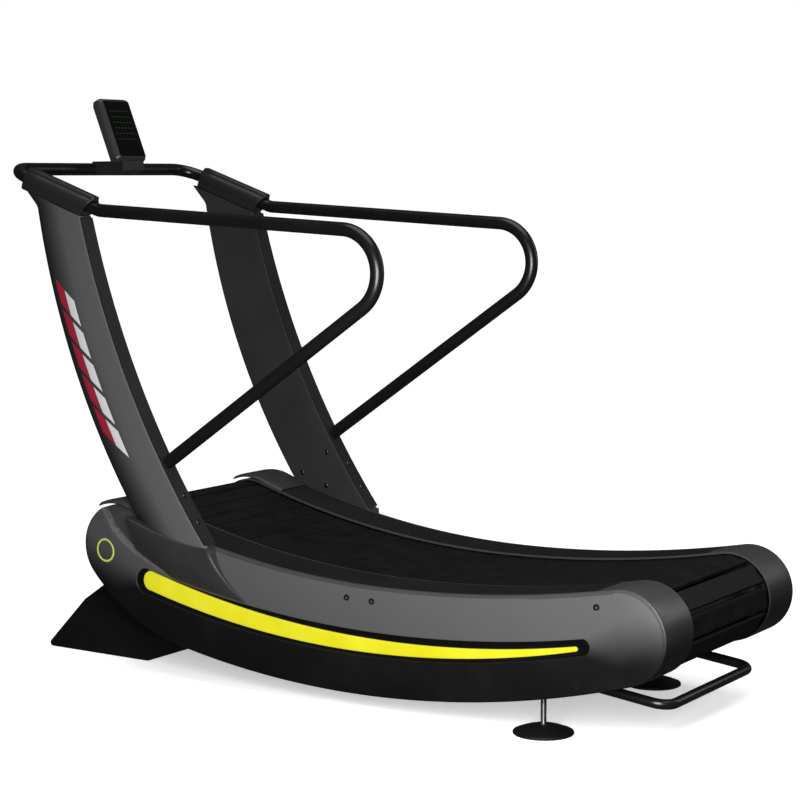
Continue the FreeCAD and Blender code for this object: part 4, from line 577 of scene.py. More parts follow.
def side_cover(name, side):
    """The cover's skin as one annulus of rings: in from the inner rim, out over the rim, round
    a fillet, across the crowned face to the slot, over a rounded lip and down a sloping wall
    to the light strip."""
    rows = stations((150, 140, 60, 250, 40, 60))
    slot_counts = (290, 60, 290, 60)
    slot = band_loop(**SLOT, counts=slot_counts)
    floor = band_loop(**LIGHT, counts=slot_counts, grow=LIGHT_GAP)
    rings = [np.column_stack([on_loop(rows, 0.005), np.full(len(rows), INNER)])]
    edge = on_loop(rows, HAIR)
    corner_y = face_y(*on_loop(rows, FILLET).T)
    for y in np.linspace(INNER, 1, 4):
        blend = (y - INNER) / (1 - INNER)
        rings.append(np.column_stack([edge, INNER + (corner_y - FILLET - INNER) * blend]))
    for turn in np.linspace(0, math.pi / 2, 6)[1:]:
        inset = HAIR + (FILLET - HAIR) * (1 - math.cos(turn))
        y = corner_y - FILLET + FILLET * math.sin(turn)
        rings.append(np.column_stack([on_loop(rows, inset), y]))
    near, far = on_loop(rows, FILLET), slot
    for v in np.linspace(0, 1, 45)[1:-1]:
        flat = near * (1 - v) + far * v
        rings.append(np.column_stack([flat, face_y(flat[:, 0], flat[:, 1])]))
    lip_y = face_y(slot[:, 0], slot[:, 1])
    away = (slot - floor) / np.linalg.norm(slot - floor, axis=1)[:, None]
    for turn in np.linspace(0, math.pi / 2, 4):
        y = lip_y - LIP * (1 - math.cos(turn))
        rings.append(np.column_stack([slot - away * LIP * math.sin(turn), y]))
    lip = slot - away * LIP
    bezel = [rings[-1]]
    for v in np.linspace(0, 1, 5)[1:]:
        deep = (lip_y - LIP) * (1 - v) + SLOT_FLOOR * v
        bezel.append(np.column_stack([lip * (1 - v**1.6) + floor * v**1.6, deep]))
    bezel.append(np.column_stack([floor, np.full(len(rows), LIGHT_BACK + HAIR)]))

    def skin(layers):
        """An open skin through rings of (x, z, y) points, facing away from the middle."""
        grid = np.array(layers)[:, :, [0, 2, 1]] * np.array([1, side, 1])
        faces = grid_faces(len(grid), grid.shape[1], wrap_columns=True)
        return grid, faces if side < 0 else faces[:, ::-1]

    flat = np.array(rings)
    # painted shade: black below the light and beyond the slot's ends, and the rim darker by its
    # share
    painted_shading = painted_shading_of(flat[..., 0], flat[..., 1]) * np.where(flat[..., 2] < RIM_EDGE, RIM_PAINTED_SHADE, 1.0)
    piece(f"{name}_cover_skin", [skin(rings)], cover_abs, "base", 40,
          [f"{name}_side_cover"], painted_shading=painted_shading)
    piece(f"{name}_slot_bezel", [skin(bezel)], abs_gloss, "base", 50)

    strip = band_loop(**LIGHT, counts=(200, 24, 200, 40))
    middle = np.clip(strip[:, :1], -0.53, 0.835).repeat(2, 1)
    middle[:, 1] = (bow(LIGHT_TOP, middle[:, 0]) + bow(LIGHT_BOTTOM, middle[:, 0])) / 2

    def level(v, y):
        """The strip's outline moved by share v towards its middle line, at distance y out."""
        mixed = strip * (1 - v) + middle * v
        return np.column_stack([mixed[:, 0], np.full(len(strip), side * y), mixed[:, 1]])

    crown = ((0, 0.4040), (0.06, 0.4050), (0.2, 0.4056), (0.5, LIGHT_FRONT))
    layers = [level(*at) for at in ((0, LIGHT_BACK), *crown)]
    skin_parts = closed_skin(layers, (level(1, LIGHT_BACK), level(1, LIGHT_FRONT)))
    piece(f"{name}_light_diffuser", [skin_parts], yellow, "base", 50,
          [f"{name}_light_strip"])


for name, side in SIDES:
    side_cover(name, side)


# where a foot strip starts and ends, along the machine and across it
STRIP_FRONT, STRIP_REAR, STRIP_IN, STRIP_OUT = -0.585, 0.90, 0.248, 0.383
# how far it stands up, its ribs' height and spacing, and how far from its middle they reach
STRIP_RISE, RIB_HEIGHT, RIB_SPACING, RIB_REACH = 0.0016, 0.0009, 0.009, 0.058


def foot_strip(name, side):
    """A grained strip let into the cover's top. Its height is its rise, less a high power of
    the share of the half width and half length, which rounds the edges, plus ribs: a cosine of
    the distance across, cut off flat above and below."""
    x = np.linspace(STRIP_FRONT, STRIP_REAR, 180)
    across = np.linspace(STRIP_IN, STRIP_OUT, 91)
    middle, half = (STRIP_IN + STRIP_OUT) / 2, (STRIP_OUT - STRIP_IN) / 2
    rise = STRIP_RISE - 0.0028 * np.abs((across - middle) / half) ** 24
    wave = np.cos((across - middle) * 2 * math.pi / RIB_SPACING)
    rib = RIB_HEIGHT * np.clip(wave * 1.6, -1, 1)
    rise = rise + np.where(np.abs(across - middle) < RIB_REACH, rib, 0.0)
    centre, reach = (STRIP_FRONT + STRIP_REAR) / 2, (STRIP_REAR - STRIP_FRONT) / 2
    ends = 0.003 * np.abs((x - centre) / reach) ** 300
    z = top_z(x[:, None], ends[:, None] - rise[None, :])
    y = side * across[None]
    grid = np.stack([np.broadcast_to(x[:, None], z.shape), np.broadcast_to(y, z.shape), z], 2)
    faces = grid_faces(*z.shape)
    upper = (grid, faces if side < 0 else faces[:, ::-1])
    piece(f"{name}_tread_strip", [upper], abs_grained, "base", 30,
          [f"{name}_foot_strip"])


for name, side in SIDES:
    foot_strip(name, side)


def thick_sheet(top, bottom):
    """A closed plate between two grids of the same shape, joined round their edges."""
    rows, columns = top.shape[:2]
    ring_top, ring_bottom = (
        np.concatenate([side[0], side[1:, -1], side[-1, -2::-1], side[-2:0:-1, 0]])
        for side in (top, bottom))
    faces = grid_faces(rows, columns)
    walls = grid_faces(2, len(ring_top), wrap_columns=True)
    start = rows * columns
    points = np.concatenate([top.reshape(-1, 3), bottom.reshape(-1, 3), ring_top, ring_bottom])
    polygons = np.concatenate([faces, faces[:, ::-1] + start, walls[:, ::-1] + 2 * start])
    return facing_out(points, polygons)


# where a visor starts and ends, and its wall
VISOR_FRONT, VISOR_REAR, VISOR_WALL = -0.733, -0.548, 0.004
# its outer edge, and how far past the nose's middle its underside leaves the nose's circle
VISOR_OUT, NOSE_TO_TOP = 0.3975, 0.0383


def front_hood(name, side):
    """A curved visor over the cover's front: it stands 19 mm proud at its front edge and
    settles to 9 mm towards the upright, with rounded side edges. Its height over the cover is
    a power of the share along it, less a high power of the share of its half width."""
    x = np.linspace(VISOR_FRONT, VISOR_REAR, 40)
    across = np.linspace(INNER + 0.001, VISOR_OUT, 40)
    share = (x - VISOR_FRONT) / (VISOR_REAR - VISOR_FRONT)
    rise = 0.009 + 0.0105 * (1 - share) ** 1.7
    edge = 0.007 * (np.abs((across - 0.3197) / 0.0778) ** 10)

    def layer(lift):
        """A sheet lifted off the cover's outline, lower towards its side edges."""
        height = np.maximum(lift[:, None] - edge[None, :], 0.0008)
        nose = NOSE[1] + np.sqrt((END + height) ** 2 - (x[:, None] - NOSE[0]) ** 2)
        z = np.where(x[:, None] < NOSE_X + NOSE_TO_TOP, nose, top_z(x[:, None], -height))
        y = np.broadcast_to(side * across, z.shape)
        return np.stack([np.broadcast_to(x[:, None], z.shape), y, z], 2)

    part = thick_sheet(layer(rise), layer(np.maximum(rise - VISOR_WALL, 0.0006)))
    piece(f"{name}_visor", [part], abs_charcoal, "base", 50,
          [f"{name}_front_hood"])


for name, side in SIDES:
    front_hood(name, side)

# ------------------------------------------------------------------ uprights

# the arcs of an upright's edges: centre x, centre z, radius
FRONT_EDGE, REAR_EDGE = (1.225, 1.720, 2.204), (1.710, 1.950, 2.545)
# a clamp's middle, its tilt, and how far under its middle it sits on the upright
CLAMP, TILT, SADDLE = (-0.8475, 1.391), math.radians(19), 0.0332
# the shell's inside at its rear edge, its crest, and how far back across it the crest is
SHELL_IN, SHELL_OUT, CREST_SHARE = 0.4212, 0.4367, 0.66
# the upright's foot, the fin's foot and the fin's tip
UPRIGHT_FOOT, FIN_FOOT, FIN_TIP = 0.398, 1.352, -1.000
# the channel's inner face, and the radius of its rolled edges
CHANNEL_IN, CHANNEL_ROLL = 0.385, 0.0035


def edge_x(edge, z):
    """Where an upright's edge is at height z: its arc's centre less the arc's reach there."""
    return edge[0] - np.sqrt(edge[2] ** 2 - (z - edge[1]) ** 2)


def saddle_z(x):
    """The line of the clamp's underside."""
    return CLAMP[1] - math.tan(TILT) * (x - CLAMP[0]) - SADDLE / math.cos(TILT)


def upright_levels(s):
    """Points (x, z) over an upright: shares s across it from the front edge to the rear edge,
    on levels from its foot to the clamp's underside, with the pointed fin at the top."""
    tip = (FIN_TIP, saddle_z(FIN_TIP))

    def place(z):
        """x over the upright at heights z: across from the front edge, or the fin, to the rear."""
        front = edge_x(FRONT_EDGE, z)
        lean = (tip[1] - z) / (tip[1] - FIN_FOOT)
        fin = tip[0] + (edge_x(FRONT_EDGE, FIN_FOOT) - tip[0]) * lean
        front = np.where(z > FIN_FOOT, np.minimum(front, fin), front)
        return front + (edge_x(REAR_EDGE, z) - front) * s

    # the top is where each line up the upright meets the clamp: halving steps settle on it
    top = np.full(len(s), 1.36)
    for _ in range(60):
        top = 0.5 * top + 0.5 * saddle_z(place(top))
    levels = np.concatenate([np.linspace(0, 0.93, 60), np.linspace(0.94, 1, 8)])
    z = UPRIGHT_FOOT + (top - UPRIGHT_FOOT)[None, :] * levels[:, None]
    return np.stack([place(row) for row in z]), z


def upright_skins(name, side):
    """The channel is flat inside, with rolled edges. The shell over it rises from a thin front
    edge to a crest at two thirds of its width, as a power of the distance from the crest, and
    stays high to a small rear radius."""
    share = np.linspace(0.012, CREST_SHARE, 26)
    back = np.linspace(0.68, 0.965, 10)
    s = np.concatenate([[0.0, 0.0, 0.003], share, back, [0.985, 0.996, 1.0, 1.0]])
    y = np.concatenate([
        [0.4006, 0.4012, 0.4030], SHELL_OUT - 0.0335 * (1 - share / CREST_SHARE) ** 1.9,
        SHELL_OUT - 0.002 * ((back - CREST_SHARE) / 0.30) ** 2, [0.4335, 0.4310, 0.4280, SHELL_IN]])
    x, z = upright_levels(s)
    grid = np.stack([x, side * np.broadcast_to(y, z.shape), z], 2)
    width = edge_x(REAR_EDGE, 0.9) - edge_x(FRONT_EDGE, 0.9)
    uv = np.stack([np.broadcast_to(s * width, z.shape), z], 2)
    uv = np.concatenate([uv[:1], uv, uv[-1:]])
    piece(f"{name}_upright_shell", [closed_skin(grid)], shell_paint, "base", 40,
          [f"{name}_upright_cover"], uvs=uv)

    roll = np.radians([0, 22, 45, 68, 90])
    front_s = CHANNEL_ROLL / width * (1 - np.sin(roll))
    front_y = CHANNEL_IN + CHANNEL_ROLL * (1 - np.cos(roll))
    s = np.concatenate([[0.002], front_s[::-1], np.linspace(0.1, 0.9, 9), 1 - front_s, [0.998]])
    y = np.concatenate([[0.4004], front_y[::-1], np.full(9, CHANNEL_IN), front_y, [0.4208]])
    x, z = upright_levels(s)
    grid = np.stack([x, side * np.broadcast_to(y, z.shape), z], 2)
    piece(f"{name}_upright_channel", [closed_skin(grid)], powder_grey, "base", 40,
          [f"{name}_upright"])


for name, side in SIDES:
    upright_skins(name, side)


# the shares along a boot's top at which its line is given, and along its rear edge
TOP_SHARES, REAR_SHARES = (0, 0.265, 0.611, 1), (0, 0.30, 0.65, 1)
# the boot's inner face, and how far its edges are rounded
BOOT_IN, BOOT_ROUND = 0.3975, 0.0030


def boot(name, side):
    """A bulging panel round the upright's foot, blended between four border curves (each a
    cubic through four points). Its top stands 33 mm proud of the cover, its lower edge sinks
    in behind the crest, and its rear edge runs down from proud to flush in a hollow curve."""
    u, v = np.linspace(0, 1, 64), np.linspace(0, 1, 50)

    def cubic(at, shares, values):
        """The cubic through four values, at given shares, read at other shares."""
        return np.polyval(np.polyfit(shares, values, 3), at)

    top_z_line = cubic(u, TOP_SHARES, (0.4655, 0.4440, 0.4190, 0.4044))
    top = np.stack([-0.601 + 0.294 * u, top_z_line], 1)
    rear = np.stack([cubic(v, REAR_SHARES, (-0.307, -0.2885, -0.243, -0.1845)),
                     cubic(v, REAR_SHARES, (0.4044, 0.3560, 0.3015, 0.2605))], 1)
    low_x = -0.597 + 0.4125 * u
    crest = np.where(low_x < CREST[-1, 0], np.polyval(CREST_CURVE, low_x), bow(SLOT_TOP, low_x))
    low = np.stack([low_x, crest + 0.0022], 1)
    low[-1] = rear[-1]
    front = np.stack([np.linspace(top[0, 0], low[0, 0], 50),
                      np.linspace(top[0, 1], low[0, 1], 50)], 1)
    U, V = u[None, :, None], v[:, None, None]
    flat = (1 - V) * top[None] + V * low[None] + (1 - U) * front[:, None] + U * rear[:, None]
    flat -= (1 - U) * (1 - V) * top[0] + U * (1 - V) * top[-1]
    flat -= (1 - U) * V * low[0] + U * V * low[-1]
    proud = cubic(u, (0, 0.3, 0.65, 1), (0.4315, 0.4392, 0.4408, 0.4375))
    sunk = np.interp(u, [0, 0.33, 0.42, 1], [0.4005, 0.4075, 0.4087, 0.4087])
    power = np.interp(u, [0, 0.2, 0.75, 1], [1.3, 1.7, 1.5, 0.75])
    share = v[:, None] ** power[None]
    y = proud[None] * (1 - share) + sunk[None] * share
    # shares of the way in from the top, rear and front edges, for rounding them
    edges = (v[:, None] / 0.03, (1 - u) / 0.012, u / 0.02, 1.0)
    gap = np.minimum.reduce([np.broadcast_to(edge, y.shape) for edge in edges])
    y = y - BOOT_ROUND * (1 - np.sqrt(np.clip(1 - (1 - gap) ** 2, 0, 1)))
    outer = np.stack([flat[..., 0], side * y, flat[..., 1]], 2)
    inner = outer.copy()
    inner[..., 1] = side * BOOT_IN
    piece(f"{name}_boot_shell", [thick_sheet(outer, inner)], abs_charcoal, "base",
          40, [f"{name}_boot"])


for name, side in SIDES:
    boot(name, side)

# ------------------------------------------------------------------ tubes and clamps


def bent_path(points, bends):
    """Straight runs joined by tangent arcs, as points in a plane. A point of an arc is its two
    end radii, weighted by the sines of the angles to the other end."""
    points = [np.array(p, float) for p in points]
    path = [points[0]]
    for before, here, after, bend in zip(points, points[1:], points[2:], bends):
        a = (before - here) / np.linalg.norm(before - here)
        b = (after - here) / np.linalg.norm(after - here)
        half = math.acos(np.clip(a @ b, -1, 1)) / 2
        middle = (a + b) / np.linalg.norm(a + b)
        centre = here + middle * bend / math.sin(half)
        start = here + a * bend / math.tan(half)
        stop = here + b * bend / math.tan(half)
        one, two = start - centre, stop - centre
        sweep = math.pi - 2 * half
        steps = np.linspace(0, 1, max(8, int(math.degrees(sweep) / 4)))
        path += [centre + (one * math.sin((1 - t) * sweep) + two * math.sin(t * sweep))
                 / math.sin(sweep) for t in steps]
    path.append(points[-1])
    return np.array(path)


# how far a tube's ends are rounded
TUBE_ROUND = 0.0006


def tube(path, plane_x, plane_y, origin, radius, bore, count=40):
    """A circle carried along a flat path and back down the bore, so that the ends are open
    rings with a slightly rounded edge."""
    normal = np.cross(plane_x, plane_y)
    spine = np.array(origin) + path[:, :1] * np.array(plane_x) + path[:, 1:] * np.array(plane_y)
    tangent = np.gradient(spine, axis=0)
    runs = np.diff(spine, axis=0)
    runs /= np.linalg.norm(runs, axis=1)[:, None]
    tangent[0], tangent[-1] = runs[0], runs[-1]
    tangent[1:-1] = runs[:-1] + runs[1:]
    tangent /= np.linalg.norm(tangent, axis=1)[:, None]
    side = np.cross(tangent, normal)
    turn = np.linspace(0, 2 * math.pi, count, endpoint=False)

    def rings(r, at, shift):
        """Circles of radius r round the spine's points, moved along it by shift."""
        return (spine[at] + tangent[at] * shift)[:, None] + r * (
            np.cos(turn)[None, :, None] * side[at][:, None] + np.sin(turn)[None, :, None] * normal)

    every, first, last = np.arange(len(spine)), [0], [len(spine) - 1]
    grid = np.concatenate([
        rings(bore, first, 0.0), rings(radius - TUBE_ROUND, first, 0.0),
        rings(radius, first, TUBE_ROUND), rings(radius, every[1:-1], 0.0),
        rings(radius, last, -TUBE_ROUND), rings(radius - TUBE_ROUND, last, 0.0),
        rings(bore, last, 0.0),
        rings(bore, every[1:-1][::-1], 0.0),
    ])
    return ring_skin(grid)


def on_clamp(distance):
    """The point (x, z) at a distance along the clamp's axis from its middle."""
    return (CLAMP[0] + distance * math.cos(TILT), CLAMP[1] - distance * math.sin(TILT))


# how far out the handrails are, their tube and bore radii, and the radius of their first bend
RAIL_Y, RAIL_R, RAIL_BORE, RAIL_BEND = 0.410, 0.019, 0.0165, 0.070
for name, side in SIDES:
    points = [on_clamp(0.003), on_clamp(0.151), (0.479, 1.284), (-0.4616, 0.6337)]
    part = tube(bent_path(points, (RAIL_BEND, 0.115)), (1, 0, 0), (0, 0, 1),
                (0, side * RAIL_Y, 0), RAIL_R, RAIL_BORE)
    piece(f"{name}_handrail_tube", [part], powder_black, "base", 40,
          [f"{name}_handrail"])

# the crossbar lies in the clamps' tilted plane, from BAR_X back to them
BAR_X = -1.047
REACH = (CLAMP[0] - BAR_X) / math.cos(TILT)
BAR = (BAR_X, 0, CLAMP[1] + REACH * math.sin(TILT))
ends = REACH - 0.003
bar_points = [(ends, -RAIL_Y), (0, -RAIL_Y), (0, RAIL_Y), (ends, RAIL_Y)]
bar = tube(bent_path(bar_points, (RAIL_BEND, RAIL_BEND)),
           (math.cos(TILT), 0, -math.sin(TILT)), (0, 1, 0), BAR, RAIL_R, RAIL_BORE)
piece("crossbar_tube", [bar], powder_black, "base", 40, ["crossbar"])

# the lifting handle: its rear bar and its ends (x, z), half its width, its bends and its radii
HANDLE_REAR, HANDLE_FRONT = np.array([1.0345, 0.103]), np.array([0.745, 0.1378])
HANDLE_HALF, HANDLE_BEND, HANDLE_R, HANDLE_BORE = 0.2616, 0.045, 0.0135, 0.011
length = np.linalg.norm(HANDLE_FRONT - HANDLE_REAR)
along = (HANDLE_FRONT - HANDLE_REAR) / length
lift_points = [(length, -HANDLE_HALF), (0, -HANDLE_HALF), (0, HANDLE_HALF), (length, HANDLE_HALF)]
lift = tube(bent_path(lift_points, (HANDLE_BEND, HANDLE_BEND)), (along[0], 0, along[1]),
            (0, 1, 0), (HANDLE_REAR[0], 0, HANDLE_REAR[1]), HANDLE_R, HANDLE_BORE)
piece("lifting_handle_tube", [lift], powder_black, "base", 40, ["lifting_handle"])


def rail_clamp(name, side):
    """A sleeve round both tubes with a raised flat-topped spine; its rear end is cut
    obliquely, so that the spine overhangs. The outer radius is a function of the angle:
    a circle of 28 mm, a flat foot on the upright, and the spine as a smooth step upwards."""
    count, half, cut, mouth, bore = 96, 0.131, 0.026, 0.0205, 0.0193
    turn = np.linspace(0, 2 * math.pi, count, endpoint=False)
    c, s = np.cos(turn), np.sin(turn)
    wide = np.maximum(np.abs(c), 1e-6)
    circle = np.full(count, 0.0285)
    foot = np.where(s < -0.3, np.minimum(0.0331 / np.maximum(-s, 0.3), 0.0262 / wide), 0)
    spine = np.where(s > 0.3, np.minimum(0.0335 / np.maximum(s, 0.3), 0.0140 / wide), 0)
    radius = np.maximum.reduce([circle, foot, spine])
    smooth = np.ones(5) / 5
    radius = np.convolve(np.concatenate([radius[-2:], radius, radius[:2]]), smooth, "valid")
    lean = np.clip((radius * s + 0.033) / 0.066, 0, 1)
    # each end's rounding: how far in from the end, and how much smaller the ring is
    rounding = ((0.0, 0.003), (0.0006, 0.001), (0.002, 0.0))
    oblique = half - cut * (1 - lean)
    rows = [(shift - half, radius - inset) for shift, inset in rounding]
    rows += [(at * half, radius) for at in (-0.6, -0.2, 0.2, 0.6)]
    rows += [(oblique - shift, radius - inset) for shift, inset in rounding[::-1]]
    rows += [(oblique - 0.002, np.full(count, mouth)), (half - 0.040, np.full(count, bore))]
    rows += [(-half + 0.014, np.full(count, bore)), (-half, np.full(count, mouth))]
    axis = np.array([math.cos(TILT), 0, -math.sin(TILT)])
    across, up = np.array([0, 1.0, 0]), np.array([math.sin(TILT), 0, math.cos(TILT)])
    centre = np.array([CLAMP[0], side * RAIL_Y, CLAMP[1]])
    grid = []
    for at, r in rows:
        at = np.broadcast_to(np.asarray(at, float), (count,))
        grid.append(centre + at[:, None] * axis + (r * c)[:, None] * across
                    + (r * s)[:, None] * up)
    piece(f"{name}_clamp_sleeve", [ring_skin(grid)], nylon_black, "base", 40,
          [f"{name}_handrail_clamp"])


for name, side in SIDES:
    rail_clamp(name, side)

# ------------------------------------------------------------------ console

# how far the face leans back, its foot, and its directions up and into the case
LEAN = math.radians(22.3)
FACE_FOOT = np.array([-0.917, 0.0, 1.489])
FACE_UP = np.array([-math.sin(LEAN), 0, math.cos(LEAN)])
FACE_IN = np.array([-math.cos(LEAN), 0, -math.sin(LEAN)])


def rounded_rectangle(low, high, radius, count):
    """Points round a rectangle with circular corners, counter-clockwise."""
    points = []
    for corner in range(4):
        cx = (high[0] - radius) if corner in (0, 3) else (low[0] + radius)
        cy = (high[1] - radius) if corner in (0, 1) else (low[1] + radius)
        turn = np.pi / 2 * (corner + np.linspace(0, 1, count))
        points.append(np.stack([cx + radius * np.cos(turn), cy + radius * np.sin(turn)], 1))
    return np.concatenate(points)


def console():
    """A case whose rounded outline is carried back from the face, with a broad chamfer at the
    front, a shallow recess for the lens and another chamfer at the back."""
    half, height, depth, corner = 0.070, 0.205, 0.046, 0.016
    across = np.array([0, 1.0, 0])

    def outline(inset):
        """The case's rounded outline, drawn in by inset."""
        low, high = (-half + inset, inset), (half - inset, height - inset)
        return rounded_rectangle(low, high, max(corner - inset, 0.004), 9)

    def on_face(ring, back):
        """Points of the face's plane, moved back into the case."""
        return FACE_FOOT + ring[:, :1] * across + ring[:, 1:] * FACE_UP + back * FACE_IN

    # pairs of how far in the outline is and how far back, from the lens's seat to the rear
    profile = ((0.0126, 0.0019), (0.0120, 0.0018), (0.0117, 0.0004), (0.0110, 0.0),
               (0.0100, 0.0002), (0.0088, 0.0012), (0.0010, 0.0105), (0.0002, 0.0120),
               (0.0, 0.0135), (0.0, 0.031), (0.0006, 0.0326), (0.012, 0.0445),
               (0.0135, 0.0457), (0.016, depth))
    layers = [on_face(outline(inset), back) for inset, back in profile]
    piece("console_shell", [closed_skin(layers)], abs_black, "base", 25,
          ["console_case"])

    profile = ((0.0119, 0.0017), (0.0119, 0.0004), (0.0123, 0.0001), (0.0129, 0.0), (0.05, 0.0))
    rings = [outline(inset) for inset, _ in profile]
    layers = [on_face(ring, back) for ring, (_, back) in zip(rings, profile)]
    # the UV map starts at the lens's lower corner
    uv = [ring + np.array([0.0581, -0.0119]) for ring in rings]
    uv = [np.broadcast_to(uv[0].mean(0), uv[0].shape), *uv,
          np.broadcast_to(uv[-1].mean(0), uv[-1].shape)]
    piece("console_window", [closed_skin(layers)], glass, "base", 35,
          ["console_lens"], uvs=np.array(uv))


console()

# ------------------------------------------------------------------ slats


# how far inside the outline the drive belt's middle line and the slats' faces are
BELT_DROP, SLAT_DROP = 0.023, 0.008
# the wanted spacing of the slats, the gap between two, their thickness and corner radius
SLAT_PITCH, SLAT_GAP, SLAT_THICK, SLAT_CORNER = 0.062, 0.005, 0.0118, 0.0022
# the stiffening rib: half its thickness, its depth, and how far out it reaches
RIB_HALF, RIB_DEPTH, RIB_END = 0.003, 0.022, 0.195
# how far out each ring of a slat's rounded ends is, and how much it is drawn in
SLAT_ENDS = ((0.235, 0.0), (0.2362, 0.0005), (0.237, 0.0016))


def slat_section(half):
    """A slat's cross-section: the tread with a shallow groove along its middle, a rounded
    corner, and the underside with its rib."""
    corner = np.radians(np.array([0, 30, 60, 90]))
    right = np.stack([half - SLAT_CORNER + SLAT_CORNER * np.sin(corner),
                      -SLAT_CORNER + SLAT_CORNER * np.cos(corner)], 1)
    along = np.linspace(-half + SLAT_CORNER, half - SLAT_CORNER, 9)[1:-1]
    groove = -0.0006 * (np.abs(np.linspace(-1, 1, 9)[1:-1]) < 0.3)
    under, rib = -SLAT_THICK, -SLAT_THICK - RIB_DEPTH
    low = [(half, under + 0.001), (half - 0.001, under), (RIB_HALF, under), (RIB_HALF, rib),
           (-RIB_HALF, rib), (-RIB_HALF, under), (-half + 0.001, under), (-half, under + 0.001)]
    left = np.stack([-right[::-1, 0], right[::-1, 1]], 1)
    return np.concatenate([np.stack([along, groove], 1), right, low, left])


def slat_skin(half):
    """The cross-section carried across the machine, without its rib outside the rib's ends,
    and drawn in at both ends so that they are rounded."""
    section = slat_section(half)

    def row(y, shrink, ribbed):
        """The section at y, drawn in by shrink."""
        x = section[:, 0] * (1 - shrink / half)
        z = np.where(section[:, 1] > -0.005, section[:, 1] - shrink, section[:, 1])
        z = z if ribbed else np.maximum(z, -SLAT_THICK)
        return np.column_stack([x, np.full(len(x), y), z])

    left = [row(-y, shrink, False) for y, shrink in SLAT_ENDS[::-1]]
    left += [row(-RIB_END - HAIR, 0.0, False), row(-RIB_END, 0.0, True)]
    right = [row(RIB_END, 0.0, True), row(RIB_END + HAIR, 0.0, False)]
    right += [row(y, shrink, False) for y, shrink in SLAT_ENDS]
    return closed_skin(np.array(left + right))


def slats(name, first, last, node_name):
    """Each slat is set on the loop at even steps of the drive belt's middle line: its place is
    the arc's centre and radius at the distance travelled, and it is turned to the arc there."""
    lengths = np.array([(radius + sign * BELT_DROP) * math.radians(abs(end - start))
                        for _, _, radius, sign, start, end in ARCS])
    count = round(lengths.sum() / SLAT_PITCH)
    pitch = lengths.sum() / count
    points, faces = slat_skin((pitch - SLAT_GAP) / 2)
    points = points.reshape(-1, 3)
    parts = []
    for index in range(count):
        travelled, number = pitch * (index + 0.5), 0
        while travelled > lengths[number]:
            travelled -= lengths[number]
            number += 1
        if not first <= number <= last:
            continue
        cx, cz, radius, sign, start, end = ARCS[number]
        angle = math.radians(start + (end - start) * travelled / lengths[number])
        at = radius + sign * SLAT_DROP
        out = np.array([math.cos(angle), math.sin(angle)]) * (-sign)
        tangent = np.array([out[1], -out[0]])
        x = cx + at * math.cos(angle) + points[:, 0] * tangent[0] + points[:, 2] * out[0]
        z = cz + at * math.sin(angle) + points[:, 0] * tangent[1] + points[:, 2] * out[1]
        parts.append((np.stack([x, points[:, 1], z], 1), faces))
    piece(name, parts, tread, "base", 35, [node_name])


slats("running_surface", 0, 1, "running_slats")
slats("return_run", 2, 5, "return_slats")

# ------------------------------------------------------------------ feet, screws and rings

# a foot's place (x and distance out), and its screw's pitch, radius and depth of thread
FOOT, THREAD_PITCH, THREAD_R, THREAD_DEPTH = (0.7065, 0.318), 0.002, 0.0080, 0.0009
for name, side in SIDES:
    origin = (FOOT[0], side * FOOT[1], 0.0)
    profile = [(0.0001, 0.0), (0.0785, 0.0), (0.08, 0.0012), (0.08, 0.0052), (0.0788, 0.0068)]
    swell = np.linspace(0, 1, 14)
    profile += [(0.0765 - 0.0600 * t, 0.0072 + 0.0168 * (1 - (1 - t) ** 1.6)) for t in swell]
    profile += [(0.0150, 0.0240), (0.0140, 0.0236), (0.0085, 0.0236), (0.0001, 0.0230)]
    piece(f"{name}_foot_disc", [spun(profile, origin, (0, 0, 1), 72)], rubber_plain,
          f"{name}_foot", 35, [f"{name}_foot_pad"])
    # the rolled thread is drawn as rings: the radius is a cosine of the height
    z = np.arange(0.024, 0.2145, THREAD_PITCH / 4)
    wave = 0.5 + 0.5 * np.cos(2 * math.pi * z / THREAD_PITCH)
    thread = [(0.0001, 0.0145), (0.0070, 0.0145), *zip(THREAD_R - THREAD_DEPTH * wave, z),
              (0.0066, 0.215), (0.0001, 0.215)]
    piece(f"{name}_foot_screw", [spun(thread, origin, (0, 0, 1), 28)], zinc_steel,
          f"{name}_foot", 40, [f"{name}_foot_stud"])


# radius, height and socket radius of the upright's screws and of the cover's
UPRIGHT_SCREW, COVER_SCREW = (0.0085, 0.0042, 0.0028), (0.0055, 0.0013, 0.0036)
# a socket's depth, the bevel round it, and how far a head's underside is sunk
SOCKET_DEPTH, SOCKET_BEVEL, HEAD_SUNK = 0.0022, 0.0004, 0.0012
# where the screws are (x, z): on the upright's inner face, and down its rear edge (z only)
FACE_SCREWS, EDGE_SCREWS = ((-0.4725, 0.575), (-0.5665, 0.504), (-0.4735, 0.469)), (0.542, 0.470)
# where the screws are in the cover's face (x, z), and how deep they are set
COVER_SCREWS = ((0.1445, 0.310), (0.2255, 0.308), (0.9025, 0.368), (0.8505, 0.158))
COVER_SET = 0.0008


def button_head(centre, axis, radius, height, socket):
    """A domed head with a socket, as a profile carried round its axis. The dome's radius is a
    sine of the angle, and its height a power of the angle's cosine."""
    edge = socket + SOCKET_BEVEL
    floor_z = height - SOCKET_DEPTH
    profile = [(0.0001, floor_z), (socket, floor_z), (socket, height - 0.0003), (edge, height)]
    for angle in np.linspace(0, math.pi / 2, 8)[1:]:
        rise = height * math.cos(angle) ** 0.8 if angle < 1.57 else 0.0
        profile.append((edge + (radius - edge) * math.sin(angle), rise))
    profile += [(radius, -HEAD_SUNK), (0.0001, -HEAD_SUNK)]
    return spun(profile, centre, axis, 28)


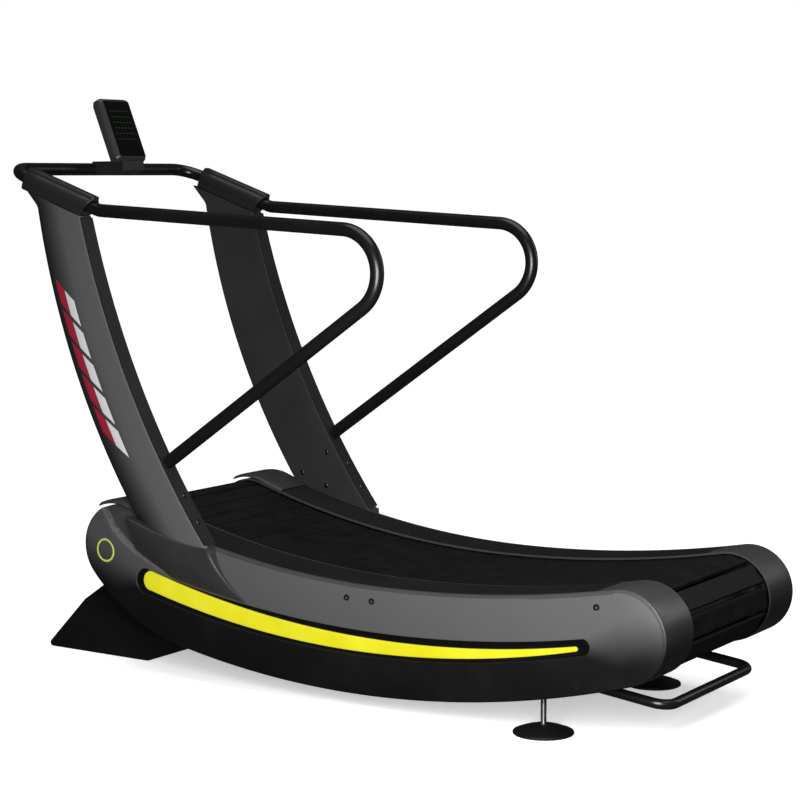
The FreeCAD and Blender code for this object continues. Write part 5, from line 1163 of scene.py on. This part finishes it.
def upright_bolts():
    """Screws in each upright: three in its inner face, and two square to its rear edge."""
    parts = []
    for _, side in SIDES:
        for x, z in FACE_SCREWS:
            centre = (x, side * CHANNEL_IN, z)
            parts.append(button_head(centre, (0, -side, 0), *UPRIGHT_SCREW))
        for z in EDGE_SCREWS:
            x = float(edge_x(REAR_EDGE, z))
            away = np.array([REAR_EDGE[0] - x, 0, REAR_EDGE[1] - z])
            away /= np.linalg.norm(away)
            centre = np.array([x, side * RAIL_Y, z]) + away * 0.0042
            parts.append(button_head(centre, away, *UPRIGHT_SCREW))
    piece("upright_screws", parts, black_oxide, "base", 35, ["upright_bolts"])


upright_bolts()


def cover_screws():
    """Small black screws, set a little into the crowned face."""
    parts = []
    for _, side in SIDES:
        for x, z in COVER_SCREWS:
            y = float(face_y(x, z))
            centre = (x, side * (y - COVER_SET), z)
            parts.append(button_head(centre, (0, side, 0), *COVER_SCREW))
    piece("face_screws", parts, rubber_plain, "base", 35, ["cover_screws"])


cover_screws()

# the nose ring's middle (x, z), its radius and half its width, and how proud it stands
RING_AT, RING_R, RING_HALF, RING_RISE = (-0.7025, 0.358), 0.0318, 0.0031, 0.0013


def nose_ring():
    """A flat-backed ring with a half-round front that follows the crowned face: its radius is
    a cosine of the angle round its section, and its height the sine, where that is above 0."""
    parts = []
    turn = np.linspace(0, 2 * math.pi, 72, endpoint=False)
    for _, side in SIDES:
        rows = []
        for angle in np.linspace(0, 2 * math.pi, 16, endpoint=False):
            r = RING_R + RING_HALF * math.cos(angle)
            x, z = RING_AT[0] + r * np.cos(turn), RING_AT[1] + r * np.sin(turn)
            proud = HAIR + RING_RISE * max(math.sin(angle), 0.0)
            rows.append(np.stack([x, side * (face_y(x, z) + proud), z], 1))
        parts.append(ring_skin(rows))
    piece("nose_ring_lights", parts, green, "base", 60, ["nose_rings"])


nose_ring()

# ------------------------------------------------------------------ materials of the CAD nodes

FINISHES = {
    powder_matt: ["front_stand"],
    powder_black: ["left_side_rail", "right_side_rail", "front_cross_tube", "middle_cross_tube",
                   "rear_cross_tube", "wheel_brackets", "left_upright_bracket",
                   "right_upright_bracket", "left_foot_bracket", "right_foot_bracket",
                   "cover_standoffs"],
    turned_steel: ["front_axle", "rear_axle", "front_drum_bearings", "rear_drum_bearings",
                   "left_guide_rollers", "right_guide_rollers"],
    powder_grey: ["front_drum", "rear_drum"],
    powder_dark: ["left_rear_strip", "right_rear_strip"],
    rubber_plain: ["left_drive_belt", "right_drive_belt"],
    nylon_black: ["console_bracket"],
    abs_black: ["left_light_tray", "right_light_tray"],
    polyurethane: ["left_transport_wheel", "right_transport_wheel"],
}
for finish, names in FINISHES.items():
    for name in names:
        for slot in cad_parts[name].material_slots:
            slot.material = finish

# ------------------------------------------------------------------ floor, light and camera


# how far the floor reaches, and its height, just under the feet
FLOOR_REACH, FLOOR_Z = 60, -0.0005


def floor():
    """A wide plain floor in matt paint, lit from within so that only a soft shadow shows."""
    made, tree, place = blank_material("painted_studio_floor")
    cloud = node(tree, "ShaderNodeTexNoise", {"Vector": place, "Scale": 0.6, "Detail": 2.0})
    tint = node(tree, "ShaderNodeValToRGB", {"Fac": cloud.outputs["Fac"]},
                shades("fafafa", "fcfcfc"))
    shader = node(tree, "ShaderNodeBsdfPrincipled", {
        "Base Color": tint.outputs["Color"], "Roughness": 0.7,
        "Emission Color": linear("ffffff"), "Emission Strength": 0.45})
    node(tree, "ShaderNodeOutputMaterial", {"Surface": shader.outputs["BSDF"]})
    mesh = bpy.data.meshes.new("studio_floor")
    corners = [(x * FLOOR_REACH, y * FLOOR_REACH, FLOOR_Z)
               for x, y in ((-1, -1), (1, -1), (1, 1), (-1, 1))]
    mesh.from_pydata(corners, [], [(0, 1, 2, 3)])
    plane = bpy.data.objects.new("studio_floor", mesh)
    bpy.context.scene.collection.objects.link(plane)
    mesh.materials.append(made)
    # the floor takes shadows but sends no light up, so that the underside stays dark
    plane.visible_diffuse = False
    plane.visible_glossy = False


floor()

world = bpy.data.worlds.new("studio")
bpy.context.scene.world = world
world.use_nodes = True
sky = world.node_tree
# white behind the object, a dim even fill on it, and less still in its reflections
sky.nodes.clear()
ray = node(sky, "ShaderNodeLightPath")
lit = node(sky, "ShaderNodeBackground", {"Color": linear("ffffff"), "Strength": 0.20})
for share, strength in ((ray.outputs["Is Glossy Ray"], 0.05), (ray.outputs["Is Camera Ray"], 1.0)):
    other = node(sky, "ShaderNodeBackground", {"Color": linear("ffffff"), "Strength": strength})
    lit = node(sky, "ShaderNodeMixShader", {0: share, 1: lit.outputs[0], 2: other.outputs[0]})
node(sky, "ShaderNodeOutputWorld", {"Surface": lit.outputs[0]})


def lamp(name, kind, place, target, power, **settings):
    """A light at a place, turned to a target and hidden from the camera."""
    made_light = bpy.data.lights.new(name, kind)
    made_light.energy = power
    for setting, value in settings.items():
        setattr(made_light, setting, value)
    made = bpy.data.objects.new(name, made_light)
    made.location = place
    made.rotation_euler = (Vector(target) - Vector(place)).to_track_quat("-Z", "Y").to_euler()
    made.visible_camera = False
    bpy.context.scene.collection.objects.link(made)


lamp("overhead_light", "SUN", (0.8, -0.6, 6.0), (0.0, 0.0, 0.0), 1.7, angle=math.radians(60))
lamp("key_softbox", "AREA", (1.6, -2.3, 0.95), (0.6, -0.4, 0.4), 125,
     shape="RECTANGLE", size=1.3, size_y=1.3)
lamp("rim_softbox", "AREA", (2.6, 3.0, 2.2), (0.0, 0.0, 0.8), 14,
     shape="RECTANGLE", size=0.8, size_y=2.4)

# the camera's turn to the left from looking along +Y, and its tilt down
TURN, DOWN = 0.57758, 0.10607
camera = bpy.data.cameras.new("viewpoint")
camera.lens = 95.85
camera.sensor_width = 36.0
camera.clip_end = 200.0
viewer = bpy.data.objects.new("viewpoint", camera)
viewer.location = (3.3517, -5.0599, 1.4477)
look = Vector((-math.sin(TURN) * math.cos(DOWN), math.cos(TURN) * math.cos(DOWN), -math.sin(DOWN)))
viewer.rotation_euler = look.to_track_quat("-Z", "Y").to_euler()
bpy.context.scene.collection.objects.link(viewer)
bpy.context.scene.camera = viewer
bpy.context.scene.view_settings.view_transform = "Standard"
